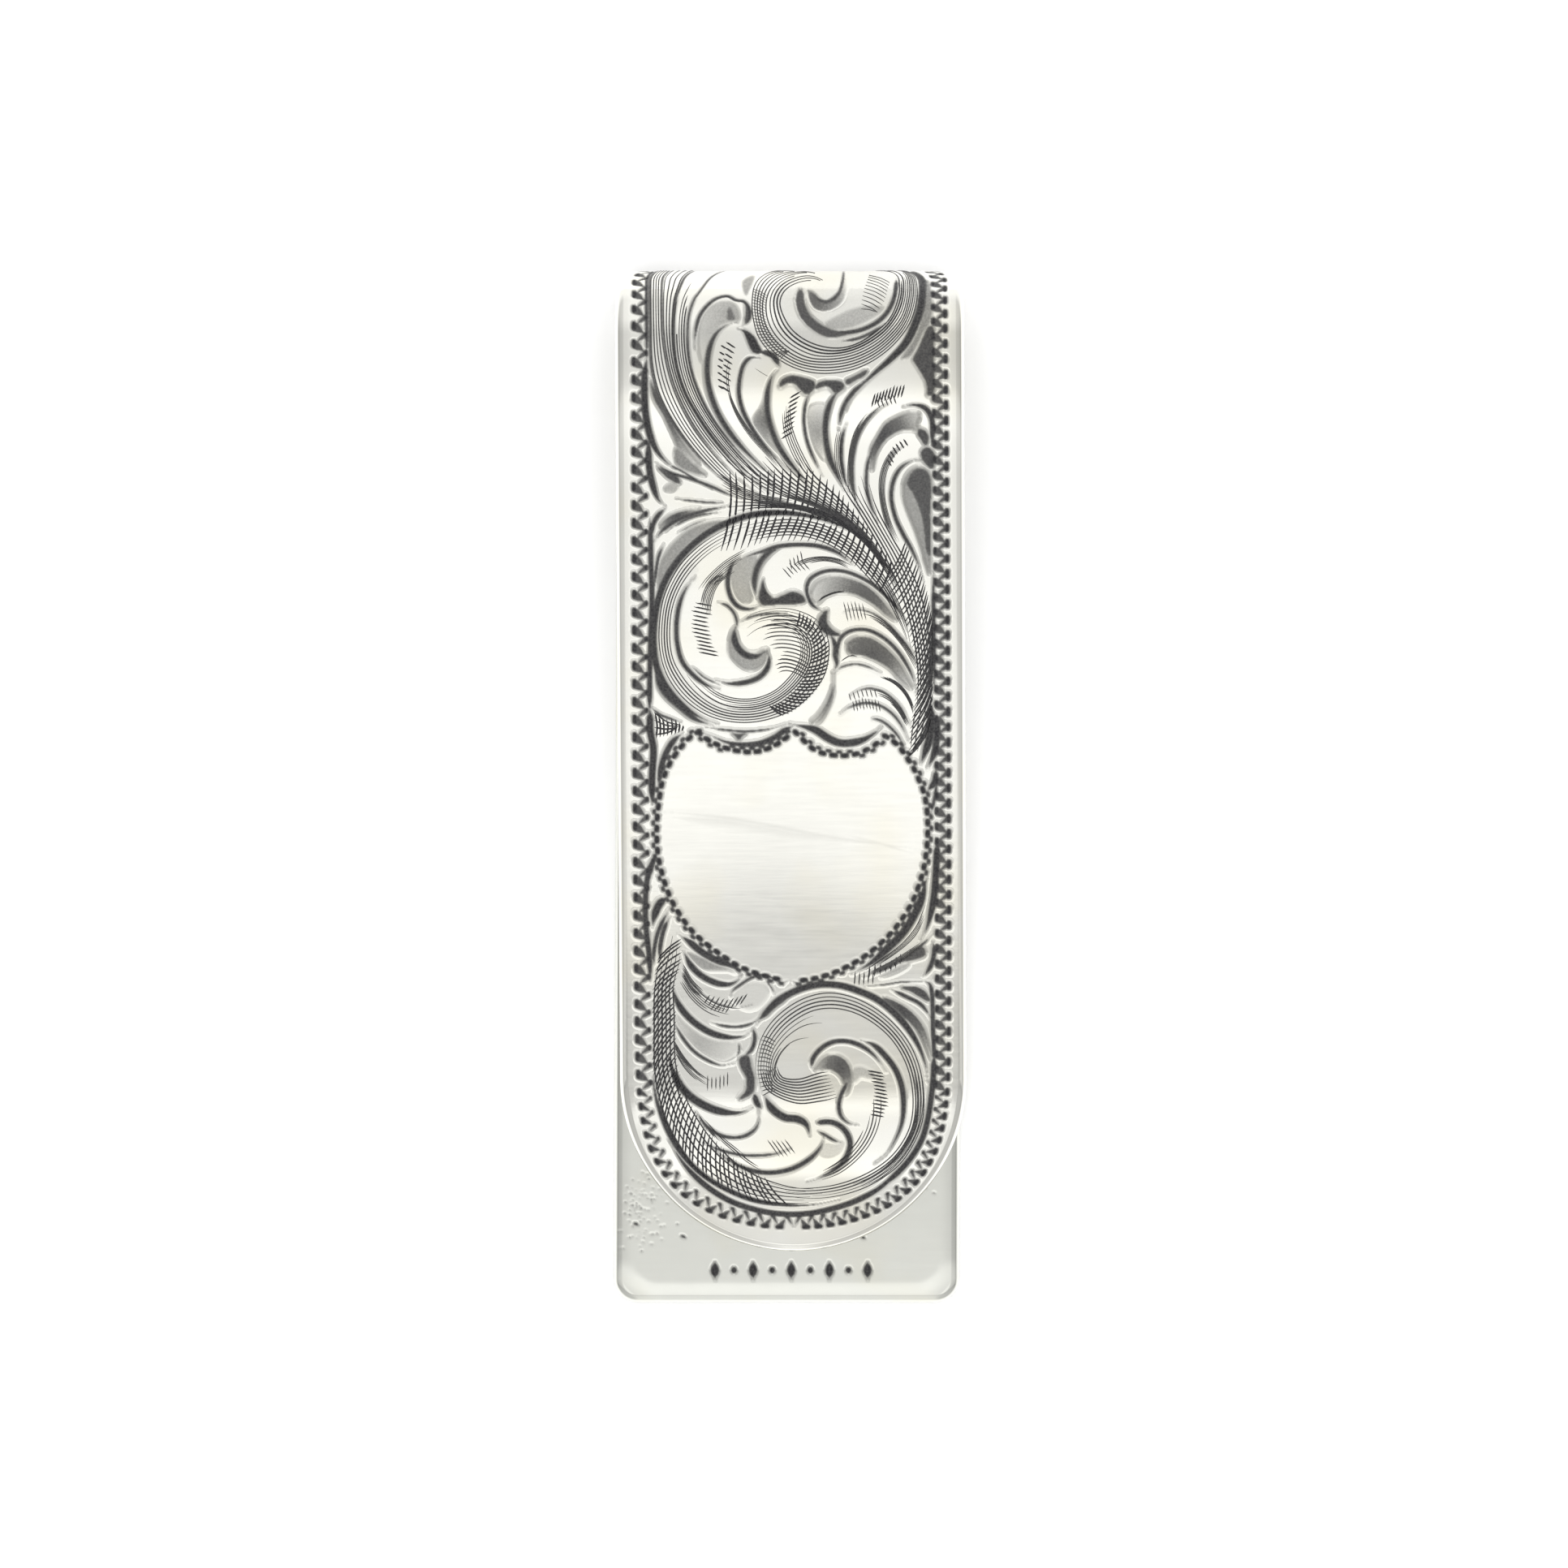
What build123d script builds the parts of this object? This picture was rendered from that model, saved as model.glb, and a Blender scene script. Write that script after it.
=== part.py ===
"""Folded money clip: one strip of sterling silver sheet, bent back on itself.

The clip lies on its back leaf. X runs across the strip, Y along it with the fold at +Y, and Z is up.
The origin is under the middle of the clip, on the surface it rests on. All sizes are millimetres.

Side view, looking along X:

                                             shoulder   crown
      flared tip        straight run  ___.-----------------.
     '-.___________.-------------'''''                      |  fold_spring
     =======================================================-'
      grip line         back_leaf

The strip is divided where its job changes: fold_spring is the bend that springs, and back_leaf and
front_leaf are its stiff ends. front_leaf swings about the middle of the bend when notes are pushed in.
"""

from build123d import *
from math import asin, atan2, cos, degrees, hypot, radians, sin
import os

# Driving dimensions
STRIP_WIDTH = 19.0
THICKNESS = 1.0
OVERALL_LENGTH = 56.6
FOLD_OUTER_RADIUS = 3.6
TIP_SETBACK = 2.85          # how far the front leaf's tip stops short of the back leaf's end
SHOULDER_RADIUS = 64.0      # where the front leaf starts down from the crown
FLARE_RADIUS = 24.0         # where the front leaf turns up again at its tip
FLARE_ANGLE = 9.0           # degrees above level at the tip
REST_GAP = 0.12             # between the leaves at the grip line, when the clip is empty
BACK_CORNER_RADIUS = 1.3
EDGE_ROUNDING = 0.4         # every free edge of the sheet is polished round
FRONT_SLANT = 0.29          # degrees: the strip isn't bent quite square, so the front leaf points
BACK_SLANT = -0.17          # a little to +X from the fold, and the back leaf a little to -X

# Worked out from them
HALF_LENGTH = OVERALL_LENGTH / 2
HALF_WIDTH = STRIP_WIDTH / 2
FOLD_RADIUS = FOLD_OUTER_RADIUS - THICKNESS / 2
FOLD_Y = HALF_LENGTH - FOLD_OUTER_RADIUS        # the bend's axis, and where both leaves start
CROWN_Z = 2 * FOLD_OUTER_RADIUS - THICKNESS / 2
TIP_Y = -HALF_LENGTH + TIP_SETBACK
GRIP_Y = TIP_Y + FLARE_RADIUS * sin(radians(FLARE_ANGLE))
GRIP_Z = 1.5 * THICKNESS + REST_GAP
PAST_THE_TIP = 3.0          # degrees of flare beyond the tip, for the round end to cut off
SPARE = 1.0                 # extra sheet around a leaf, before its outline is cut
CUTTER_HEIGHT = 20.0


class Arc:
    """A curved stretch of the strip's centreline, seen from the side.

    centre is (y, z), and start and end are angles in degrees from +Y towards +Z, in the order that the
    strip runs from the fold to the tip. outward is 1 where the strip bulges outward and -1 where it dips.
    """

    def __init__(self, centre, radius, start, end, outward=1):
        self.centre = centre
        self.radius = radius
        self.start = start
        self.end = end
        self.outward = outward

    def edge(self, side):
        """Three points on the strip's outer face (side 1) or inner face (side -1)."""
        radius = self.radius + side * self.outward * THICKNESS / 2
        angles = [self.start, (self.start + self.end) / 2, self.end]
        return [
            (self.centre[0] + radius * cos(radians(a)), self.centre[1] + radius * sin(radians(a)))
            for a in angles
        ]


def strip(arcs, spare=0):
    """Sheet bent through these arcs, with straight runs between them, as wide as the strip."""
    outer = [arc.edge(1) for arc in arcs]
    inner = [arc.edge(-1)[::-1] for arc in reversed(arcs)]
    around = outer + inner
    with BuildSketch(Plane.YZ) as side:
        with BuildLine():
            for here, following in zip(around, around[1:] + around[:1]):
                ThreePointArc(*here)
                Line(here[-1], following[0])
        make_face()
    return extrude(side.sketch, amount=HALF_WIDTH + spare, both=True)


def turned_about_fold(block, slant):
    """Turns a leaf's outline by the small angle that the leaf points away from square."""
    return Pos(0, FOLD_Y, 0) * Rot(0, 0, slant) * Pos(0, -FOLD_Y, 0) * block


def polished(solid):
    """Rounds every edge of a piece, apart from those at the fold's axis, where it meets its neighbour."""
    free = [edge for edge in solid.edges() if not lies_at_fold_axis(edge)]
    return fillet(free, EDGE_ROUNDING)


def lies_at_fold_axis(edge):
    box = edge.bounding_box()
    return max(abs(box.min.Y - FOLD_Y), abs(box.max.Y - FOLD_Y)) < 1e-4


def back_leaf():
    """The flat leaf that the clip rests on, with its two free corners rounded."""
    length = FOLD_Y + HALF_LENGTH
    sheet = Pos(0, FOLD_Y - (length + SPARE) / 2, THICKNESS / 2) * Box(
        STRIP_WIDTH + 2 * SPARE, length + SPARE, THICKNESS
    )
    outline = Pos(0, FOLD_Y - (length - SPARE) / 2, 0) * Box(STRIP_WIDTH, length + SPARE, CUTTER_HEIGHT)
    corners = outline.edges().filter_by(Axis.Z).group_by(Axis.Y)[0]
    outline = fillet(corners, BACK_CORNER_RADIUS)
    return polished(sheet & turned_about_fold(outline, BACK_SLANT))


def fold_spring():
    """The half-round bend that springs the leaves together."""
    return polished(strip([Arc((FOLD_Y, FOLD_OUTER_RADIUS), FOLD_RADIUS, -90, 90)]))


def front_leaf():
    """The leaf that lifts: down from the crown to the grip line, then up into a round-ended, flared tip."""
    fall = fall_of_run()
    shoulder = Arc((FOLD_Y, CROWN_Z - SHOULDER_RADIUS), SHOULDER_RADIUS, 90, 90 + fall)
    flare = Arc(
        (GRIP_Y, GRIP_Z + FLARE_RADIUS), FLARE_RADIUS, 270 + fall, 270 - FLARE_ANGLE - PAST_THE_TIP, -1
    )
    sheet = strip([shoulder, flare], SPARE)
    return polished(sheet & turned_about_fold(round_end(), FRONT_SLANT))


def fall_of_run():
    """The straight run's fall in degrees, as it is tangent to both the shoulder's circle and the flare's."""
    along = FOLD_Y - GRIP_Y
    radii = SHOULDER_RADIUS + FLARE_RADIUS
    apart = radii - (CROWN_Z - GRIP_Z)
    return degrees(asin(radii / hypot(along, apart)) - atan2(apart, along))


def round_end():
    """The front leaf's outline from above, as a tall block to cut it with: straight sides and a round end."""
    round_y = TIP_Y + HALF_WIDTH
    straight = FOLD_Y + SPARE - round_y
    sides = Pos(0, round_y + straight / 2, 0) * Box(STRIP_WIDTH, straight, CUTTER_HEIGHT)
    return sides + Pos(0, round_y, 0) * Cylinder(HALF_WIDTH, CUTTER_HEIGHT)


os.makedirs("parts", exist_ok=True)
for piece in (back_leaf, fold_spring, front_leaf):
    export_step(piece(), f"parts/{piece.__name__}.step")
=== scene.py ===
"""Looks of the folded silver money clip: an engraved front leaf and fold over a polished back leaf.

Sizes are in millimetres, in the frame's axes, until a mesh is made. The engraving is worked out as a
height and tone map of the flat sheet, which then shapes the bent meshes. Its fine lines are thin slivers
of geometry.
"""

import bpy
import numpy as np
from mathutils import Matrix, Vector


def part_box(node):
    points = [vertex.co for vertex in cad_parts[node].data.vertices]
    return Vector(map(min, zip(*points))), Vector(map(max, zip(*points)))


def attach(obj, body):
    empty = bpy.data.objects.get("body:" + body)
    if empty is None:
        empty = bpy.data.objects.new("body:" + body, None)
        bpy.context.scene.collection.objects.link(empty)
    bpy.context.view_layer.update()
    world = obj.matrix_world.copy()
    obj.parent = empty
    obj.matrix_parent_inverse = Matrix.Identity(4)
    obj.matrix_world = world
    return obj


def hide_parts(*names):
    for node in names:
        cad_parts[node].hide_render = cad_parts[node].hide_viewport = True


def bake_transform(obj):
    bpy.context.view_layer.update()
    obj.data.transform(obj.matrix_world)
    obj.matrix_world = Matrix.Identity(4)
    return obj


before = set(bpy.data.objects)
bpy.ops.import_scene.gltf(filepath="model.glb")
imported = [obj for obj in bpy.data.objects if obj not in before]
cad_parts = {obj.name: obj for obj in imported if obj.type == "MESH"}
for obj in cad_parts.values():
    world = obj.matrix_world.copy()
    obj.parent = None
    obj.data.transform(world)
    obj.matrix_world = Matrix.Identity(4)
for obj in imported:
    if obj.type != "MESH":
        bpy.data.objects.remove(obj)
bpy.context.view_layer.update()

MM = 0.001                  # metres in a millimetre

# The strip, as the frame has it
fold_low, fold_high = (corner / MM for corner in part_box("fold_spring"))
leaf_low, _ = (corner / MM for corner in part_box("front_leaf"))
back_low, back_high = (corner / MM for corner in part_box("back_leaf"))
HALF_WIDTH = (fold_high.x - fold_low.x) / 2
FOLD_RADIUS = fold_high.z / 2               # outside of the bend
FOLD_Y = fold_low.y                         # the bend's axis, and where both leaves start
THICKNESS = back_high.z
CREST_Y = FOLD_Y + FOLD_RADIUS              # the outermost point of the bend
TIP_Y = leaf_low.y
END_Y = back_low.y
SHOULDER_RADIUS = 64.0                      # where the front leaf starts down from the crown
FLARE_RADIUS = 24.0                         # where it turns up again at its tip
FLARE_ANGLE = np.radians(9.0)
REST_GAP = 0.12
FRONT_SLANT = np.radians(0.29)              # how far each leaf points away from square
BACK_SLANT = np.radians(-0.17)
BACK_CORNER = 1.3
ROUNDING = 0.4                              # every free edge of the sheet is polished round

# Worked out from them
GRIP_Y = TIP_Y + FLARE_RADIUS * np.sin(FLARE_ANGLE)
GRIP_Z = 1.5 * THICKNESS + REST_GAP
SHOULDER_Z = 2 * FOLD_RADIUS - THICKNESS / 2 - SHOULDER_RADIUS
FLARE_Z = GRIP_Z + FLARE_RADIUS
RADII = SHOULDER_RADIUS + FLARE_RADIUS
RUN = FOLD_Y - GRIP_Y                       # from the centre of the flare's arc to that of the shoulder's
RISE = FLARE_Z - SHOULDER_Z
FALL = np.arcsin(RADII / np.hypot(RUN, RISE)) - np.arctan2(RISE, RUN)     # slope of the straight run

# Places t along the sheet. On a leaf t is how far in y a point is from the crest. From the start of the
# front leaf it counts on backwards round the bend, along the outside of the sheet.
APEX = FOLD_RADIUS * (1 - np.pi / 2)        # the crest
SHEET_START = FOLD_RADIUS * (1 - np.pi)     # where the bend meets the back leaf
SHEET_END = CREST_Y - TIP_Y
BACK_END = CREST_Y - END_Y

# --------------------------------------------------------------------------------------------------
# The engraving, drawn flat. A point is (x, v) in millimetres: x across the strip, and v down it from the
# top of the clip as it looks from straight above. A negative v is past the crest, out of sight from above,
# and counts along the sheet.
# --------------------------------------------------------------------------------------------------

RASTER = 0.04               # mm between the points of the fine raster that cuts are worked out on
LINE_STEP = 0.12            # mm between the points of a curve
BITE = 1.15                 # how much wider a cut opens than the line it is drawn on
CUT_STEEPNESS = 0.3         # a cut's depth as a share of its width
CUT_LEAST = 0.03            # mm that every cut goes down besides
NARROWEST = 0.4             # half the width of a cut's thinnest end, in steps of the raster
UNTOUCHED = 9.0             # a distance from a cut that is well outside it, in its half-widths
GROUND_BLUR = 0.06          # mm that the edge of a cut-down area is softened over
FADE = 0.75                 # share of its tone that a fading area loses on its far side
FADE_CURVE = 1.3            # over 1, the tone holds for longer before it fades
STROKE_DEPTH = 0.08         # of the border's zigzag
NICK_DEPTH = 0.12           # of the nicks at its turns
WELL_INSIDE = (0, 27)       # a point that the border and the shield's edge both go round
BOW = 0.06                  # how far a line across a band bows out, as a share of its length
EDGE_WEAR = 0.045           # mm that the polished face rolls down at its edges
EDGE_BAND = 1.2             # mm from the edge where that starts
WEAR_RUN = 3                # mm along the sheet before it is that worn
random = np.random.default_rng(7)


def laid_flat(points):
    """Where points seen from above lie on the sheet: (x, distance along the sheet)."""
    points = np.array(points, float)
    v = points[:, 1]
    on_bend = np.clip((FOLD_RADIUS - v) / FOLD_RADIUS, 0, 1)
    in_sight = np.where(v < FOLD_RADIUS, FOLD_RADIUS * (1 - np.arcsin(on_bend)), v)
    points[:, 1] = np.where(v < 0, v + APEX, in_sight)
    return points


def curve(*points, closed=False):
    """A smooth curve through the points, as points LINE_STEP apart."""
    p = laid_flat(points)
    p = np.vstack([p[-1:], p, p[:2]]) if closed else np.vstack([2 * p[0] - p[1], p, 2 * p[-1] - p[-2]])
    pieces = []
    for a, b, c, d in zip(p, p[1:], p[2:], p[3:]):
        s = np.linspace(0, 1, max(2, int(np.hypot(*(c - b)) / LINE_STEP)), endpoint=False)[:, None]
        square = (2 * a - 5 * b + 4 * c - d) * s**2
        cube = (3 * b - a - 3 * c + d) * s**3
        pieces.append(0.5 * (2 * b + (c - a) * s + square + cube))
    return np.vstack(pieces + [p[-2:-1]])


def resampled(line, count):
    """The line again, as evenly spaced points."""
    along = np.concatenate([[0], np.cumsum(np.hypot(*np.diff(line, axis=0).T))])
    s = np.linspace(0, along[-1], count)
    return np.column_stack([np.interp(s, along, line[:, i]) for i in (0, 1)])


def smooth(s):
    """An S-shaped step from 0 to 1."""
    s = np.clip(s, 0, 1)
    return s * s * (3 - 2 * s)


def blurred(field):
    field = field.copy()
    field[1:-1] = (field[:-2] + 2 * field[1:-1] + field[2:]) / 4
    field[:, 1:-1] = (field[:, :-2] + 2 * field[:, 1:-1] + field[:, 2:]) / 4
    return field


class Plate:
    """How deep and how dark the sheet is at each point of a fine raster, and the fine lines on it."""

    def __init__(self, start, end):
        self.x = np.arange(-HALF_WIDTH, HALF_WIDTH + RASTER, RASTER)
        self.t = np.arange(start, end + RASTER, RASTER)
        self.depth = np.zeros((len(self.t), len(self.x)))
        self.tone = np.zeros_like(self.depth)
        self.lines = []

    def window(self, low, high):
        """The part of the raster in a box, as slices and its coordinates."""
        i, j = (slice(*np.clip(np.searchsorted(axis, (a, b)), 0, len(axis)))
                for axis, a, b in ((self.t, low[1], high[1]), (self.x, low[0], high[0])))
        return i, j, *np.meshgrid(self.x[j], self.t[i])

    def groove(self, line, half, depth, tone, lean=0.0, gain=2.5, taper=(0.25, 0.35)):
        """A V-shaped cut along a line, pointed at its ends, and deepest towards its right for lean > 0."""
        s = np.linspace(0, 1, len(line))
        ends = [np.ones_like(s) if not part else smooth(q / part) for part, q in zip(taper, (s, 1 - s))]
        half = np.maximum(half * ends[0] * ends[1], RASTER * NARROWEST)
        reach = half.max() + RASTER
        i, j, x, t = self.window(line.min(0) - reach, line.max(0) + reach)
        if not x.size:
            return
        best = np.full(x.shape, UNTOUCHED)
        side = np.zeros(x.shape)
        for a, b, wa, wb in zip(line, line[1:], half, half[1:]):
            reach = max(wa, wb) + RASTER
            low, high = np.minimum(a, b) - reach, np.maximum(a, b) + reach
            rows = slice(*np.searchsorted(t[:, 0], (low[1], high[1])))
            cols = slice(*np.searchsorted(x[0], (low[0], high[0])))
            dx, dt = b - a
            px, pt = x[rows, cols] - a[0], t[rows, cols] - a[1]
            s = np.clip((px * dx + pt * dt) / (dx * dx + dt * dt + 1e-12), 0, 1)
            away = np.hypot(px - s * dx, pt - s * dt) / (wa + (wb - wa) * s)
            closer = away < best[rows, cols]
            best[rows, cols][closer] = away[closer]
            side[rows, cols][closer] = np.sign(dx * pt - dt * px)[closer]
        signed = best * side
        shape = np.where(signed < lean, (1 + signed) / (1 + lean + 1e-6), (1 - signed) / (1 - lean + 1e-6))
        shape = np.clip(np.where(best < 1, shape, 0), 0, 1)
        self.depth[i, j] = np.maximum(self.depth[i, j], depth * shape)
        self.tone[i, j] = np.maximum(self.tone[i, j], tone * np.clip(shape * gain, 0, 1))

    def settle(self):
        """Softens the cuts a little, as the polishing after the cutting does."""
        for _ in range(2):
            self.depth = blurred(self.depth)
        self.tone = blurred(self.tone)

    def sampled(self, x, t):
        """Depth and tone at points of the sheet."""
        row = np.clip((t - self.t[0]) / RASTER, 0, len(self.t) - 1.001)
        col = np.clip((x - self.x[0]) / RASTER, 0, len(self.x) - 1.001)
        i, j = row.astype(int), col.astype(int)
        p, q = row - i, col - j

        def between(a):
            above = (1 - q) * a[i, j] + q * a[i, j + 1]
            below = (1 - q) * a[i + 1, j] + q * a[i + 1, j + 1]
            return (1 - p) * above + p * below

        return between(self.depth), between(self.tone)

    def inside(self, edge, blur):
        """The part of the raster around a closed edge, and how far each point is inside it, from 0 to 1."""
        i, j, x, t = self.window(edge.min(0) - 0.2, edge.max(0) + 0.2)
        odd = np.zeros(x.shape, bool)
        for (xa, ta), (xb, tb) in zip(edge, np.roll(edge, -1, axis=0)):
            between = (ta > t) != (tb > t)
            odd ^= between & (x < (xb - xa) * (t - ta) / (tb - ta + 1e-12) + xa)
        mask = odd.astype(float)
        for _ in range(int(round(blur / RASTER))):
            mask = blurred(mask)
        return i, j, x, t, mask


plate = Plate(SHEET_START, SHEET_END)


def cut(*points, wide=0.2, tone=0.92, lean=0.0, gain=4.0, taper=(0.25, 0.35)):
    """A bold cut, wide mm across, through the points."""
    plate.groove(curve(*points), BITE * wide / 2, CUT_STEEPNESS * wide + CUT_LEAST, tone, lean, gain, taper)


def ground(*points, tone=0.8, sink=0.12, toward=None):
    """An area cut down and darkened. It is darkest at toward, an (x, v), and fades from there."""
    i, j, x, t, mask = plate.inside(curve(*points, closed=True), GROUND_BLUR)
    if toward:
        (tx, tt), = laid_flat([toward])
        away = np.hypot(x - tx, t - tt)
        away = away / away[mask > 0.5].max()
        tone = tone * (1 - FADE * np.clip(away, 0, 1) ** FADE_CURVE)
    plate.depth[i, j] = np.maximum(plate.depth[i, j], sink * mask)
    plate.tone[i, j] = np.maximum(plate.tone[i, j], tone * mask)


def line(*points, wide=0.07):
    """One fine line."""
    plate.lines.append((curve(*points), wide))


def fan(first, last, count, wide=0.05, start=(0, 0.06), end=(1, 0.08)):
    """Fine lines spaced from one curve to another.

    start and end say where along the curves they run, each as a share and how much a line may fall short.
    """
    size = max(len(first), len(last))
    a, b = resampled(first, size), resampled(last, size)
    for share in (np.arange(count) + 0.5) / count:
        whole = a + (b - a) * share
        low = np.clip(start[0] + start[1] * random.uniform(0, 1), 0, 1)
        high = np.clip(end[0] - end[1] * random.uniform(0, 1), 0, 1)
        low, high = int(low * (size - 1)), int(high * (size - 1)) + 1
        if high - low > 3:
            plate.lines.append((whole[low:high], wide * random.uniform(0.8, 1.2)))


def across(first, last, count, wide=0.05, skew=0.0, start=0.0, end=1.0):
    """Fine lines from one curve across to another, each slanting by skew of the curves' length."""
    for share in np.linspace(start, end, count):
        a = resampled(first, 101)[int(100 * np.clip(share, 0, 1))]
        b = resampled(last, 101)[int(100 * np.clip(share + skew, 0, 1))]
        steps = np.linspace(0, 1, max(3, int(np.hypot(*(b - a)) / (2 * LINE_STEP))))[:, None]
        bend = BOW * np.hypot(*(b - a)) * np.sin(np.pi * steps) * np.array([[(b - a)[1], -(b - a)[0]]])
        plate.lines.append((a + (b - a) * steps + bend / (np.hypot(*(b - a)) + 1e-9), wide))


def comb(along, count, length, angle, wide=0.09):
    """Short ticks across a curve, at an angle in degrees from +x towards +v."""
    way = np.array([np.cos(np.radians(angle)), np.sin(np.radians(angle))])
    for place in resampled(along, count):
        reach = length / 2 * random.uniform(0.9, 1.25)
        plate.lines.append((place + way * np.linspace(-reach, reach, 5)[:, None], wide))
def left_sheaf():
    """The sheaf of stems that rises up the left side and passes over the fold."""
    edge = curve((-7.6, -5.2), (-7.62, -2), (-7.62, 1), (-7.6, 3), (-7.58, 5), (-7.3, 6.5), (-6.85, 7.6),
                 (-6.2, 8.7), (-5.4, 9.8), (-4.5, 10.8), (-3.4, 11.8), (-2, 12.6))
    first = curve((-5.6, -4.8), (-6.6, -2.6), (-6.9, 0.3), (-6.95, 2), (-6.85, 4), (-6.5, 5.8),
                  (-5.95, 7.3), (-5.2, 8.7), (-4.3, 9.9), (-3.3, 11), (-2.2, 12), (-1, 12.8))
    second = curve((-3.2, -3.6), (-4.9, -1.6), (-5.9, 0.8), (-6.2, 1.7), (-6.33, 3), (-6.3, 4.4),
                   (-6.1, 5.6), (-5.7, 6.8), (-5.1, 7.9), (-4.3, 9.1), (-3.3, 10.3), (-2.2, 11.4),
                   (-1, 12.4))
    third = curve((-2, -2.6), (-3.2, -0.8), (-4.7, 0.95), (-5.2, 1.7), (-5.5, 2.7), (-5.55, 4), (-5.4, 5.3),
                  (-5.05, 6.5), (-4.5, 7.7), (-3.7, 8.9), (-2.7, 10.1), (-1.5, 11.3), (-0.4, 12.2))
    for path, wide in ((edge, 0.14), (first, 0.1), (second, 0.17), (third, 0.15)):
        plate.groove(path, wide / 2, 0.06, 0.9, taper=(0.05, 0.3))
    fan(edge, first, 5, wide=0.06, end=(1, 0.2))
    fan(first, second, 4, wide=0.06, end=(1, 0.2))
    fan(second, third, 6, wide=0.065, start=(0.3, 0.2), end=(1, 0.2))
    cut((-7.8, -5.3), (-7.8, -2), (-7.8, 1), (-7.78, 3), (-7.78, 5), wide=0.16, taper=(0, 0.1))
    # The dark ground beside it, and the leaf that stands in that ground
    cut((-7.72, 4.6), (-7.9, 5.8), (-7.92, 7.2), (-7.8, 8.4), (-7.5, 9.5), (-7, 10.3), (-6.2, 11),
        wide=0.36, lean=-0.3)
    ground((-7.62, 6), (-7.2, 7), (-6.7, 8), (-6.1, 9), (-5.5, 9.9), (-4.9, 10.7), (-5.6, 10.6), (-6, 10),
           (-6.4, 9.1), (-6.9, 8), (-7.4, 7.1), tone=0.85, toward=(-7.2, 7))
    ground((-6.2, 9.8), (-5.7, 10.2), (-5, 10.9), (-4.6, 11.3), (-5.6, 11.05), (-6.2, 10.6), tone=0.5)
    cut((-7.7, 9.2), (-7.72, 10.2), (-7.66, 11.1), (-7.45, 12), (-7.2, 12.6), (-6.8, 13), wide=0.34,
        lean=-0.3)


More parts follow.
